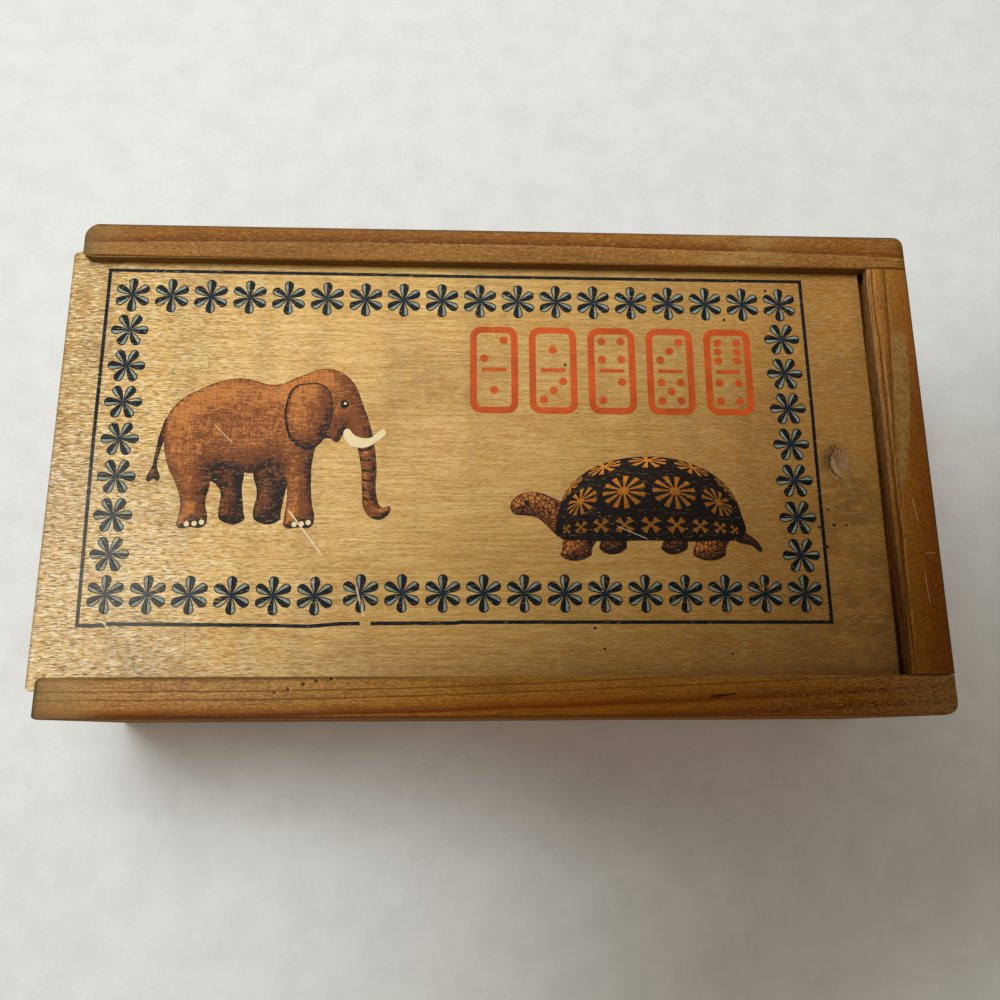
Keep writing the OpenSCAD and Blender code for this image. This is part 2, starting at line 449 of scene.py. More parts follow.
def front_course(f, across):
    """Rings of the front rail: straight, then running out over the inner arris."""
    run = (f.x + 50.0).math("MAXIMUM", 0.0)
    return across + run * 0.0018 + run * run * 0.00002


def end_course(f, across):
    """Rings of an end board, which lean across it."""
    return across - (f.y - 45.0) * 0.0046


def pine_finish(name, along, rings, course, inner, width, seed):
    """Varnished pine. along is the grain's axis, 0 for X and 1 for Y; inner is where the inner
    arris lies across the grain, and width how far, and which way, the board reaches from it."""
    look = bpy.context.scene.dominobox_pine
    f = Finish(name)
    run, across = (f.x, f.y) if along == 0 else (f.y, f.x)
    grain = f.joined(run, across, f.z)
    ends = CAD_BOX[1][along] / MM

    sway = f.noise(grain, (0.020, 0.05, 0.05), seed, 1.0) - 0.5
    shiver = f.noise(grain, (0.12, 0.5, 0.5), seed + 3, 3.0) - 0.5
    fibre = f.noise(grain, (0.10, 4.0, 4.0), seed + 7, 4.0, 0.65)
    thread = f.noise(grain, (0.30, 7.0, 7.0), seed + 9, 2.0)
    blotch = f.noise(grain, (0.03, 0.12, 0.12), seed + 11, 3.0, 0.6)
    mottle = f.noise(grain, (0.16, 0.7, 0.7), seed + 15, 3.0, 0.6)
    tick = f.step(f.noise(grain, (0.45, 5.0, 5.0), seed + 13, 1.0), 0.31, 0.22)
    pore = f.noise(grain, (1.3, 3.0, 3.0), seed + 17, 2.0, 0.6)

    share_across = (across - inner) / width
    depth = CAD_BOX[1][2] / MM - f.z
    place = course(f, share_across) + depth * RING_DIP + sway * 0.09 + shiver * 0.05
    tone = f.ramp(place, rings)
    tone = f.mix(f.step(blotch, 0.42, 0.70) * 0.45, tone, look.shade)
    tone = f.mix(f.step(mottle, 0.50, 0.72) * 0.22, tone, look.late)
    tone = f.mix(f.step(fibre, 0.56, 0.34) * 0.34, tone, look.late)
    tone = f.mix(f.step(thread, 0.54, 0.78) * 0.26, tone, look.early)
    tone = f.mix(tick * 0.40, tone, look.grime_and_shade)
    up = on_top(f)
    tone = f.mix(f.step(pore, 0.56, 0.34) * (0.24 + up * 0.20), tone, look.late)
    lifted = f.step(pore, 0.52, 0.70) * (0.06 + up * 0.28)
    tone = f.mix(lifted, tone, GRAIN_LIFT, "MULTIPLY")
    side = f.step(depth, 0.6, 5.0) * f.step(abs(f.facing[along]), 0.8, 0.4)
    lines = (place * RING_LINES + sway * 0.8 + shiver * 0.16).math("FRACT")
    late = f.step(lines, 0.35, 0.92) * f.step(lines, 1.0, 0.95)
    tone = f.mix(side * late * 0.55, tone, look.late)
    tone = f.mix(side * f.step(lines, 0.30, 0.05) * 0.25, tone, look.early)

    butt = f.step(abs(f.facing[along]), 0.35, 0.8)
    near_end = f.step(abs(run), ends - 3.0, ends - 0.3) * f.step(mottle, 0.15, 0.6)
    tone = f.mix(f.math("MAXIMUM", butt * 0.50, near_end * 0.55), tone, look.grime_and_shade)
    outer = abs(f.y) if along == 0 else abs(f.x)
    limit = CAD_BOX[1][1 - along] / MM
    # painted shade with dirt: a dark contour along each outer arris and down the top of each outer
    # face
    arris = f.step(outer - limit - depth, -0.9, -0.1) * f.step(mottle, 0.2, 0.55)
    below = f.step(outer - limit, -0.5, -0.1) * f.step(depth + mottle * 3.0, 4.5, 2.0)
    tone = f.mix(f.math("MAXIMUM", arris * 0.6, below * 0.75), tone, look.grime_and_shade)
    # painted shade: the rails' inner walls above the lid darker
    inside = f.step(share_across * width * math.copysign(1, width), 0.35, 0.0)
    tone = f.mix(inside * f.step(depth, 0.0, 0.6) * (1 - along) * 0.5, tone, look.grime_and_shade)

    height = fibre * 0.6 + thread * 0.35 - tick * 0.6
    rough = look.gloss + fibre * 0.16 + butt * 0.3
    return f, tone, rough, f.bump(height, 0.06)


def back_rail_finish():
    f, tone, rough, normal = pine_finish(
        "pine_back_rail", 0, BACK_RINGS, back_course, *board_width("back_rail"), 4.0
    )
    top = on_top(f)
    haze = f.noise(f.place, (0.10, 0.5, 0.5), 111.0, 3.0, 0.6)
    grain = f.noise(f.place, (0.9, 2.4, 2.4), 110.0, 3.0, 0.7)
    tone = f.mix(f.step(grain, 0.50, 0.34) * top * 0.32, tone, GRIT_AND_SHADE)
    tone = f.mix(f.step(grain, 0.54, 0.70) * top * 0.28, tone, TORN_PINE)
    faded = f.step(f.x + haze * 16.0, -68.0, -86.0)
    tone = f.mix(faded * top * 0.30, tone, HAZE_AND_SHEEN)
    grubby = f.step(f.x + haze * 6.0, -82.0, -89.0)
    # painted shade: a dark line along the back rail's outer arris
    rim = f.step(f.y, 52.5, 53.4) * f.step(f.z, 50.0, 51.4)
    tone = f.mix(f.math("MAXIMUM", grubby * 0.35, rim * 0.55), tone, GREY_DIRT_AND_SHADE)
    dusty = f.step(abs(f.x + haze * 10.0 - 60.0), 14.0, 4.0) * f.step(haze, 0.35, 0.6)
    tone = f.mix(dusty * top * 0.30, tone, HAZE_AND_SHEEN)
    return f.close(tone, rough, normal, sheen=PINE_SHEEN)


PRICKS = (                                # x, y, reach and how far its torn lip shows
    (-45.7, -48.75, 0.26, 0.0), (-43.0, -48.0, 0.34, 0.75), (-40.1, -47.05, 0.40, 0.25),
    (-37.55, -46.5, 0.38, 0.40), (-34.6, -46.0, 0.34, 0.55),
)
RESIN_STREAKS = (((41.2, -49.9), (44.0, -49.6), 0.5), ((42.5, -49.7), (46.9, -49.3), 0.32))


def front_rail_finish():
    f, tone, rough, normal = pine_finish(
        "pine_front_rail", 0, FRONT_RINGS, front_course, *board_width("front_rail"), 9.0
    )
    top = on_top(f)
    torn = f.noise(f.place, (0.9, 2.6, 2.6), 113.0, 2.0)
    rough_cut = f.noise(f.place, (1.5, 4.2, 4.2), 114.0, 3.0, 0.65)
    ragged = f.noise(f.place, (2.6, 2.6, 2.6), 112.0, 2.0)
    towards_end = f.step(f.x, 25.0, 80.0) * top
    tone = f.mix(f.step(f.x, -60.0, 20.0) * 0.42, tone, RESIN)
    tone = f.mix(f.step(f.x, -75.0, 0.0), tone, RESIN_STAIN, "MULTIPLY")
    tone = f.mix(f.step(f.x, 15.0, -45.0) * top, tone, LEFT_STAIN, "MULTIPLY")
    # painted shade on the front rail's outer face
    outside = f.step(f.facing[1], -0.5, -0.85)
    tone = f.mix(outside, tone, OUTSIDE_SHADE, "MULTIPLY")
    rough = rough + outside * OUTSIDE_RUB
    # painted shade: a dark line where the front rail meets the lid
    seam = f.step(f.y, -46.6, -45.9) * f.step(f.x, 0.0, -40.0) * top
    tone = f.mix(seam * 0.62, tone, GRIT_AND_SHADE)
    rubbed = f.step(f.y, -46.15, -45.75) * f.step(f.x, -30.0, 30.0) * f.step(torn, 0.30, 0.52) * top
    tone = f.mix(rubbed * 0.35, tone, RUBBED_PINE)
    dull = f.step(abs(f.x) + torn * 10.0, 80.0, 92.0) * top
    tone = f.mix(dull * 0.30, tone, HAZE_AND_SHEEN)
    tone = f.mix(f.step(rough_cut, 0.53, 0.64) * towards_end * 0.72, tone, HAZE_AND_SHEEN)
    tone = f.mix(f.step(rough_cut, 0.50, 0.32) * towards_end * 0.80, tone, GRIT_AND_SHADE)
    grubby = f.step(f.x + torn * 9.0, -76.0, -90.0) * top
    tone = f.mix(grubby * 0.32, tone, GREY_DIRT_AND_SHADE)
    tone = f.mix(f.step(f.x, -91.2, -92.1) * top * 0.5, tone, GRIT_AND_SHADE)
    for x, y, reach, lip in PRICKS:
        pale = f.spot(x + 0.42, y - 0.10, reach, 0.7) * f.step(ragged, 0.60, 0.45)
        tone = f.mix(pale * lip * top, tone, TORN_PINE)
        prick = f.spot(x, y, reach, 0.45) * f.step(ragged, 0.30, 0.46) * top
        tone = f.mix(prick * 0.95, tone, GRIT_AND_SHADE)
    for streak in RESIN_STREAKS:
        tone = f.mix(f.stroke(*streak) * top * 0.9, tone, RESIN_CLOT)
    return f.close(tone, rough, normal, sheen=PINE_SHEEN)


END_SCRATCHES = (
    ((87.6, -8.0), (88.3, -13.5), 0.16), ((89.0, -20.4), (91.4, -20.2), 0.14),
    ((88.4, -24.0), (88.9, -31.5), 0.15), ((84.9, 24.0), (85.0, 8.0), 0.13),
)


def stop_end_finish():
    f, tone, rough, normal = pine_finish(
        "pine_stop_end", 1, STOP_RINGS, end_course, *board_width("stop_end"), 14.0
    )
    top = on_top(f)
    cloud = f.noise(f.place, (0.5, 0.16, 0.5), 115.0, 3.0, 0.6)
    waver = f.noise(f.place, (0.3, 0.14, 0.3), 117.0, 3.0, 0.6) - 0.5
    dapple = f.noise(f.place, (1.1, 0.9, 0.5), 119.0, 3.0, 0.65)
    near = f.step(f.y, 34.0, -42.0)
    tone = f.mix(1.0, tone, f.mix(near, END_FAR_STAIN, END_NEAR_STAIN), "MULTIPLY")
    bow = (30.0 - f.y) * 0.1
    right = 90.5 - bow * bow * 0.33
    left = 84.5 + f.y * 0.075
    # painted reflection: a greyish sheen patch on the stop end's top
    patch = f.step(f.x + (cloud - 0.5) * 0.9 - right, 0.25, -0.2) * f.step(f.x - left, 0.1, 0.8)
    patch = patch * f.step(f.y, 32.0, 27.0) * f.step(f.y + cloud * 8.0, -3.0, 3.0) * top
    tone = f.mix(patch * (0.16 + f.step(dapple, 0.3, 0.7) * 0.40), tone, HAZE_AND_SHEEN)
    # dark dapples on top, stronger towards the near end
    tone = f.mix(f.step(dapple, 0.56, 0.36) * (0.12 + near * 0.14) * top, tone, GRIT_AND_SHADE)
    # painted highlight and shade of a moulded inner arris over the lid: a pale lip, partly rubbed
    # wear, that fades towards the near end, a dark crease and a pale ridge
    lip = f.step(f.x + waver * 1.1, 83.75, 83.35) * f.step(cloud, 0.28, 0.50) * top
    tone = f.mix(lip * (0.55 - near * 0.45), tone, END_LIP)
    crease = f.step(abs(f.x - 84.10 + waver * 0.9), 0.22, 0.06) * f.step(dapple, 0.30, 0.46)
    tone = f.mix(crease * top * 0.70, tone, GRIT_AND_SHADE)
    ridge = f.step(abs(f.x - 84.75 + waver * 0.9), 0.26, 0.06) * f.step(cloud, 0.36, 0.56)
    tone = f.mix(ridge * top * 0.40, tone, END_RIDGE)
    # the wall below the arris: paler and greyer at its far end, painted light on dust, and darker
    # towards its near end, painted shade; the streaks are dirt
    wall = f.step(f.facing[0], -0.5, -0.8) * f.step(f.z, 47.0, 48.2)
    streaks = f.noise(f.place, (1.0, 0.35, 2.4), 121.0, 3.0, 0.6)
    tone = f.mix(wall * (0.65 - near * 0.40), tone, END_WALL)
    tone = f.mix(wall * f.step(streaks, 0.58, 0.40) * 0.55, tone, END_WALL_STREAK)
    tone = f.mix(wall * near * 0.40, tone, GRIT_AND_SHADE)
    for scratch in END_SCRATCHES:
        tone = f.mix(f.stroke(*scratch) * 0.55 * top, tone, SCRATCHED_PINE)
    return f.close(tone, rough, normal, sheen=PINE_SHEEN)


def open_end_finish():
    f, tone, rough, normal = pine_finish(
        "pine_open_end", 1, STOP_RINGS, end_course, *board_width("open_end"), 19.0
    )
    return f.close(tone, rough, normal, sheen=PINE_SHEEN)


# Marks on the lid, in millimetres: x, y, reach
SPECKS = (
    (50.4, 33.8, 0.36), (60.35, 41.1, 0.34), (71.3, -13.65, 0.40), (69.4, -18.45, 0.34),
    (70.35, -10.3, 0.28), (20.8, -40.0, 0.28), (47.4, -41.1, 0.26), (-84.0, 27.0, 0.40),
    (14.0, 22.5, 0.34), (18.9, -35.75, 0.34), (74.0, -13.7, 0.30), (68.05, -14.2, 0.34),
)
SMUDGES = (                               # x, y, reach, strength
    (74.0, -13.0, 9.0, 0.45), (75.0, -6.0, 5.0, 0.35), (77.0, 22.0, 6.0, 0.25),
    (73.0, -36.0, 11.0, 0.35), (-74.0, -41.0, 9.0, 0.30), (58.0, 12.0, 9.0, 0.20),
    (-20.0, 20.0, 7.0, 0.25), (-70.0, -8.0, 9.0, 0.20), (80.0, -30.0, 7.0, 0.35),
    (-88.0, 26.0, 3.5, 0.35),
)
SCRATCHES = (
    ((-45.6, -10.5), (-37.6, -20.9), 0.28),
    ((-30.6, -27.0), (-28.8, -33.6), 0.26),
    ((-81.6, -34.2), (-80.2, -35.9), 0.22),
    ((-62.0, 8.0), (-57.5, 3.5), 0.12),
    ((24.0, -14.0), (31.0, -17.0), 0.10),
)
HAIRLINES = (((-65.1, -33.4), (-64.3, -42.6)), ((-85.3, -33.0), (-84.5, -42.4)))
LID_SHEEN = 0.30                          # how strongly the lid's varnish mirrors
GLARE_WHITE = linear(252, 240, 212)          # painted reflection: whitish glare of the varnish at the lid's left near corner
TORN = linear(238, 218, 176)              # bare fibres under a scratch
BURN = linear(34, 8, 4)                   # dark specks in the varnish


def make_veneer(look):
    """The lid's varnished face: its tone, gloss and relief at each place, and the marks on it."""
    f = Shared("veneer")
    place = f.place
    drift = f.noise(place, (0.08, 0.20, 0.0), 2.0, 2.0) - 0.5
    bent = f.vector("ADD", place, f.joined(0.0, drift * 1.0, 0.0))
    streak = f.noise(bent, (0.10, 2.0, 1.0), 5.0, 3.0, 0.65)
    fibre = f.noise(bent, (0.55, 3.6, 1.0), 8.0, 2.0, 0.65)
    dash = f.noise(bent, (0.65, 3.6, 1.0), 11.0, 2.0, 0.65)
    speck = f.noise(place, (2.2, 4.2, 0.0), 23.0, 2.0, 0.6)
    cloud = f.noise(place, (0.022, 0.035, 0.0), 14.0, 3.0, 0.6)
    band = f.noise(place, (0.11, 0.006, 0.0), 17.0, 2.0)
    wash = f.noise(place, (0.07, 0.16, 0.0), 19.0, 4.0, 0.62)
    smudge = f.noise(place, (0.30, 0.55, 0.0), 25.0, 3.0, 0.6)
    # browner and darker towards the stop end and the near right: partly browned varnish, partly
    # painted shade
    browned_and_shaded = f.step(f.x + cloud * 60.0 - f.y * 0.25, -20.0, 110.0)
    # painted shade along the near margin, by the front rail, in the tone of browned varnish
    margin = f.step(f.y, -33.0, -43.0) * f.step(f.x + cloud * 30.0, -70.0, 0.0)
    # painted reflection: a whitish glare at the lid's left near corner, fading away from it
    corner = ((f.x + 96.0) * 0.024) ** 2.0 + ((f.y + 45.0).math("MAXIMUM", 0.0) * 0.018) ** 2.0
    bleached = f.step(corner + (wash - 0.5) * 0.9, 1.1, 0.1)
    # painted sheen sparkle: towards the left the bright fibres are paler and stronger and the dark
    # flecks stronger, over the real grain
    painted_sparkle = f.step(f.x + wash * 50.0 + f.y * 0.15, 0.0, -80.0)
    dark = f.step(dash, 0.50, 0.34)
    bright = f.step(fibre, 0.48, 0.62)

    tone = f.mix(f.step(streak, 0.30, 0.70), look.gold, look.pale)
    tone = f.mix(f.step(wash, 0.42, 0.72) * 0.45, tone, look.gold)
    tone = f.mix(browned_and_shaded * 0.85, tone, look.warm)
    tone = f.mix(f.step(wash, 0.55, 0.30) * browned_and_shaded * 0.30, tone, look.gold)
    tone = f.mix(f.step(cloud, 0.52, 0.74) * 0.35, tone, look.warm)
    tone = f.mix(f.step(band, 0.46, 0.62) * 0.14, tone, look.fleck)
    # painted shade along the near margin
    tone = f.mix(margin * 0.20, tone, look.umber)
    handled = f.step(f.x + wash * 6.0, -79.0, -84.0) * f.step(f.y, -30.0, -5.0)
    tone = f.mix(handled * 0.30, tone, look.umber)
    # painted reflection: the glare washed over that corner
    tone = f.mix(bleached * 0.14, tone, GLARE_WHITE)
    # bright fibres, with painted sheen sparkle towards the left and painted glare at the near corner
    tone = f.mix(bright * (0.12 + painted_sparkle * 0.70), tone, f.mix(bleached, look.cream, GLARE_WHITE))
    # dark flecks, stronger towards the left as part of the painted sparkle
    tone = f.mix(dark * (0.24 + painted_sparkle * 0.66), tone, look.fleck)
    tone = f.mix(f.step(speck, 0.46, 0.28) * (0.22 + browned_and_shaded * 0.20), tone, look.fleck)
    for start, end in HAIRLINES:
        tone = f.mix(f.stroke(start, end, 0.3) * 0.22, tone, look.umber)
    for x, y, reach, strength in SMUDGES:
        soiled = f.spot(x, y, reach, 0.8) * f.step(smudge, 0.36, 0.62)
        tone = f.mix(soiled * strength, tone, look.soil)
    scratched = soiled = 0.0
    for scratch in SCRATCHES:
        scratched = f.math("MAXIMUM", f.stroke(*scratch), scratched)
    for x, y, reach in SPECKS:
        soiled = f.math("MAXIMUM", f.spot(x, y, reach, 0.3), soiled)
    f.give(
        tone=tone,
        rough=look.gloss + fibre * 0.14 + dark * 0.10 + browned_and_shaded * 0.06,
        relief=fibre * 0.7 + streak * 0.5 - dark * 0.5,
        worn=f.step(fibre, 0.60, 0.74),
        scratched=scratched,
        soiled=soiled,
        bleached=bleached,
    )


class Veneer:
    """The lid's varnished face as one material reads it."""

    def __init__(self, f, look):
        if "veneer" not in bpy.data.node_groups:
            make_veneer(look)
        group = {"node_tree": bpy.data.node_groups["veneer"]}
        node = f.add("ShaderNodeGroup", group).socket.node
        for output in node.outputs:
            setattr(self, output.name, Wire(f, output))

    def marked(self, f, tone):
        """Scratches and specks, which lie over veneer and print alike."""
        tone = f.mix(self.scratched * 0.75, tone, TORN)
        return f.mix(self.soiled, tone, BURN)


NICK = (73.2, 0.7)                        # middle of the nail nick
NICK_PORES = (
    (72.35, 2.45, 0.34), (72.0, 1.5, 0.26), (72.75, 3.3, 0.32), (73.5, 4.0, 0.26),
    (74.3, 3.2, 0.24), (73.2, 2.7, 0.16),
)
# painted shade: dark lines along the nick's steep left wall
NICK_WALL_SHADE = (
    ((72.0, 2.2), (71.95, -0.6), 0.34), ((71.95, -0.5), (72.9, -2.4), 0.28),
    ((72.8, -2.3), (74.1, -3.5), 0.20),
)
# painted light: pale lines on the nick's floor beside that wall
NICK_FLOOR_LIGHT = ((72.6, 1.9), (72.9, -0.8)), ((72.8, -0.2), (73.6, -2.3))
NICK_LIP = ((71.4, -1.6), (73.2, -3.6))   # thin pale fibre outside the heel
BARE_NICK = linear(132, 102, 66)          # dulled wood inside the nick
NICK_DIRT_AND_SHADE = linear(48, 26, 10)            # dirt in its pits, and painted shade at its foot and along its steep wall


def nick_wear(f, tone, look):
    """Bare, dirty wood in the nail nick: a pitted arc, a dark foot and dark lines that are painted
    shade on its steep left wall, and pale lines that are painted light on its floor.
    """
    torn = f.noise(f.place, (2.6, 2.2, 0.0), 27.0, 3.0, 0.7, 0.6)
    grit = f.noise(f.place, (3.6, 3.0, 0.0), 29.0, 2.0, 0.6)
    hollow = f.spot(NICK[0] + 0.2, NICK[1] - 0.2, 3.1, 0.85)
    # painted shade: the dark foot on the nick's steep left wall
    heel = f.spot(NICK[0] - 1.6, NICK[1] - 0.4, 2.3, 0.55)
    arc = f.spot(NICK[0] - 0.3, NICK[1] + 2.2, 2.3, 0.50)
    tone = f.mix(hollow * (0.25 + f.step(torn, 0.34, 0.62) * 0.55), tone, BARE_NICK)
    tone = f.mix(heel * (0.20 + f.step(torn, 0.60, 0.38) * 0.45), tone, look.fleck)
    tone = f.mix(arc * f.step(grit, 0.54, 0.40) * 0.70, tone, NICK_DIRT_AND_SHADE)
    tone = f.mix(arc * f.step(grit, 0.58, 0.68) * 0.45, tone, look.bare)
    # painted light on the nick's floor
    for start, end in NICK_FLOOR_LIGHT:
        pale = f.stroke(start, end, 0.70) * f.step(grit, 0.38, 0.54)
        tone = f.mix(pale * 0.60, tone, look.bare)
    # painted shade along the nick's steep wall
    for start, end, width in NICK_WALL_SHADE:
        tone = f.mix(f.stroke(start, end, width) * 0.80, tone, NICK_DIRT_AND_SHADE)
    tone = f.mix(f.stroke(*NICK_LIP, 0.20) * 0.45, tone, look.bare)
    for x, y, reach in NICK_PORES:
        pit = f.spot(x, y, reach, 0.5) * f.step(grit, 0.66, 0.50)
        tone = f.mix(pit * 0.95, tone, NICK_DIRT_AND_SHADE)
    return tone


def lid_finish():
    look = bpy.context.scene.dominobox_ply
    f = Finish("lid_plywood")
    face = Veneer(f, look)
    low, high = (corner.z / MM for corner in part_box("sliding_lid"))
    third = (high - low) / 3
    upright = f.step(abs(f.facing[2]), 0.75, 0.4)
    core = f.step(abs(f.z - (low + high) / 2), third * 0.55, third * 0.45)
    pores = f.noise(f.place, (5.0, 5.0, 2.0), 21.0, 2.0)
    edge = f.mix(core, look.warm, look.core)
    edge = f.mix(f.step(pores, 0.5, 0.7) * 0.6, edge, look.fleck)
    tone = face.marked(f, face.tone)
    tone = nick_wear(f, tone, look)
    tone = f.mix(upright, tone, edge)
    left = f.step(f.x, -94.6, -95.4)
    tone = f.mix(left * 0.5, tone, look.fleck)
    rough = face.rough + upright * 0.25
    return f.close(tone, rough, f.bump(face.relief, 0.05), sheen=LID_SHEEN)


def base_finish():
    look = bpy.context.scene.dominobox_ply
    f = Finish("base_plywood")
    streak = f.noise(f.place, (0.06, 1.6, 0.4), 31.0, 3.0, 0.6)
    fleck = f.noise(f.place, (0.5, 6.0, 1.0), 33.0, 1.0)
    cloud = f.noise(f.place, (0.02, 0.03, 0.0), 35.0, 3.0)
    tone = f.mix(f.step(streak, 0.3, 0.7), look.bare, look.gold)
    tone = f.mix(f.step(cloud, 0.5, 0.75) * 0.5, tone, look.warm)
    tone = f.mix(f.step(fleck, 0.40, 0.28) * 0.5, tone, look.fleck)
    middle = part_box("base_panel")[1].z / MM / 2
    core = f.step(abs(f.z - middle), middle * 0.36, middle * 0.30)
    upright = f.step(abs(f.facing[2]), 0.75, 0.4)
    tone = f.mix(core * upright * 0.8, tone, look.core)
    rough = 0.62 + streak * 0.2
    return f.close(tone, rough, f.bump(streak * 0.6 + fleck * 0.4, 0.05))


STEEL = linear(150, 148, 143)
STEEL_STAIN = linear(96, 74, 54)          # brown spots on the brads


def steel_finish():
    f = Finish("brad_steel")
    spots = f.noise(f.place, (1.1, 1.1, 1.1), 41.0, 3.0)
    brushed = f.noise(f.place, (6.0, 6.0, 6.0), 43.0, 2.0)
    tone = f.mix(f.step(spots, 0.45, 0.7), STEEL, STEEL_STAIN)
    metal = f.step(spots, 0.72, 0.5)
    return f.close(tone, 0.38 + brushed * 0.25, f.bump(brushed, 0.02), metal=metal)


INK_SHEEN = 0.12                          # how strongly the ink mirrors
INK_GLARE = linear(152, 150, 140)             # painted reflection: that glare as a whitish veil over the ink


def ink_finish(name, inks, wear=0.5):
    """Print over the veneer. inks(f) gives the ink's tone; wear is how much of it is rubbed off."""
    look = bpy.context.scene.dominobox_ply
    f = Finish(name)
    face = Veneer(f, look)
    rubbed = f.noise(f.place, (0.16, 0.3, 0.0), 51.0, 4.0, 0.62)
    fine = f.noise(f.place, (0.9, 3.2, 0.0), 53.0, 2.0)
    bare = f.step(rubbed, 0.76 - wear * 0.12, 0.84 - wear * 0.12)
    specks = f.step(fine + (rubbed - 0.5) * wear, 0.70, 0.76)
    lost = f.math("MAXIMUM", bare * 0.9, specks * 0.85)
    lost = f.math("MAXIMUM", lost, face.worn * (0.25 + wear * 0.5))
    # painted reflection: the corner's glare lies over the ink too
    tone = f.mix(face.bleached * 0.28, inks(f), INK_GLARE)
    tone = f.mix(lost, tone, face.tone)
    tone = face.marked(f, tone)
    return f.close(tone, face.rough + 0.06, f.bump(face.relief, 0.03), sheen=INK_SHEEN)


# Pieces

SEEDS = {                                 # where each board's unevenness starts
    "back_rail": 0.0, "front_rail": 7.3, "stop_end": 20.0, "open_end": 25.1,
    "base_panel": 31.0, "sliding_lid": 37.0,
}
SLOW_WEAR, QUICK_WEAR = 28, 110           # cycles of the unevenness to a metre
BASE_WEAR = (12 * MM, 12 * MM, 0), 0.03 * MM, 0.1 * MM      # pitches, unevenness, arris wear
LID_WEAR = (8 * MM, 8 * MM, 0), 0.0, 0.25 * MM


def made(name, shape, materials):
    """Turns a bmesh into an object of the scene."""
    mesh = bpy.data.meshes.new(name)
    shape.normal_update()
    shape.to_mesh(mesh)
    shape.free()
    for material in materials:
        mesh.materials.append(material)
    thing = bpy.data.objects.new(name, mesh)
    bpy.context.scene.collection.objects.link(thing)
    return thing


def finished(name, shape, materials, body, replaces=None):
    """Turns a bmesh into a piece of the box and sets it on its body."""
    piece = made(name, shape, materials)
    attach(piece, body)
    if replaces:
        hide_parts(replaces)
    return piece


def everything(shape):
    """All vertices, edges and faces of a shape, for operators that work on the whole of it."""
    return shape.verts[:] + shape.edges[:] + shape.faces[:]


def slice_at(shape, place, normal):
    """Adds a loop where a plane crosses a shape."""
    bmesh.ops.bisect_plane(
        shape, geom=everything(shape), dist=WELD / 10, plane_co=place, plane_no=normal
    )


def cut_across(shape, low, high, axis, pitch):
    """Cuts loops across a shape at an even pitch, so that it can be worn unevenly."""
    count = max(1, round((high[axis] - low[axis]) / pitch))
    normal = [0.0, 0.0, 0.0]
    normal[axis] = 1.0
    for i in range(1, count):
        place = [0.0, 0.0, 0.0]
        place[axis] = low[axis] + (high[axis] - low[axis]) * i / count
        slice_at(shape, place, normal)


def worn_board(node, pitches, wave, wear):
    """A worn copy of a board: faces wander inward and arrises are rubbed back."""
    seed = SEEDS[node]
    shape = bmesh.new()
    shape.from_mesh(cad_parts[node].data)
    bmesh.ops.remove_doubles(shape, verts=shape.verts, dist=WELD)
    low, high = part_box(node)
    for axis, pitch in enumerate(pitches):
        if pitch:
            cut_across(shape, low, high, axis, pitch)
    shape.normal_update()
    moves = []
    for vert in shape.verts:
        slow = noise.noise(vert.co * SLOW_WEAR + Vector((seed, 0, 0)))
        quick = noise.noise(vert.co * QUICK_WEAR + Vector((0, seed, 0)))
        edge = 1 - max(abs(c) for c in vert.normal)
        rub = wave * (0.5 + 0.45 * slow) + wear * edge * max(0, 0.35 + 0.45 * slow + 0.5 * quick)
        moves.append(vert.normal * -rub)
    for vert, move in zip(shape.verts, moves):
        vert.co += move
    for face in shape.faces:
        face.smooth = True
    for edge in shape.edges:
        edge.smooth = edge.is_manifold and edge.calc_face_angle(0) < SHARP
    return shape


def even_shading(piece):
    """Keeps broad faces even up to their rubbed arrises."""
    piece.modifiers.new("Even shading", "WEIGHTED_NORMAL").keep_sharp = True


def box_operator(cls):
    """Every operator here undoes in one step."""
    cls.bl_options = {"REGISTER", "UNDO"}
    return cls


@box_operator
class DOMINOBOX_OT_rails(bpy.types.Operator):
    """Dress the two long rails in varnished pine"""

    bl_idname = "dominobox.rails"
    bl_label = "Rails"

    def execute(self, context):
        look = context.scene.dominobox_pine
        finishes = {"back_rail": back_rail_finish(), "front_rail": front_rail_finish()}
        for node, finish in finishes.items():
            shape = worn_board(node, (look.cut, 0, 0), look.wave, look.wear)
            even_shading(finished(node + "_wood", shape, [finish], "case", node))
        return {"FINISHED"}


@box_operator
class DOMINOBOX_OT_ends(bpy.types.Operator):
    """Dress the stop end and the open end in varnished pine"""

    bl_idname = "dominobox.ends"
    bl_label = "End boards"

    def execute(self, context):
        look = context.scene.dominobox_pine
        finishes = {"stop_end": stop_end_finish(), "open_end": open_end_finish()}
        for node, finish in finishes.items():
            shape = worn_board(node, (0, look.cut, 0), look.wave, look.wear)
            even_shading(finished(node + "_wood", shape, [finish], "case", node))
        return {"FINISHED"}


@box_operator
class DOMINOBOX_OT_base(bpy.types.Operator):
    """Dress the plywood base"""

    bl_idname = "dominobox.base"
    bl_label = "Base"

    def execute(self, context):
        shape = worn_board("base_panel", *BASE_WEAR)
        even_shading(
            finished("base_panel_wood", shape, [base_finish()], "case", "base_panel")
        )
        return {"FINISHED"}


@box_operator
class DOMINOBOX_OT_lid(bpy.types.Operator):
    """Dress the sliding plywood lid"""

    bl_idname = "dominobox.lid"
    bl_label = "Lid"

    def execute(self, context):
        shape = worn_board("sliding_lid", *LID_WEAR)
        even_shading(
            finished("lid_wood", shape, [lid_finish()], "lid", "sliding_lid")
        )
        return {"FINISHED"}


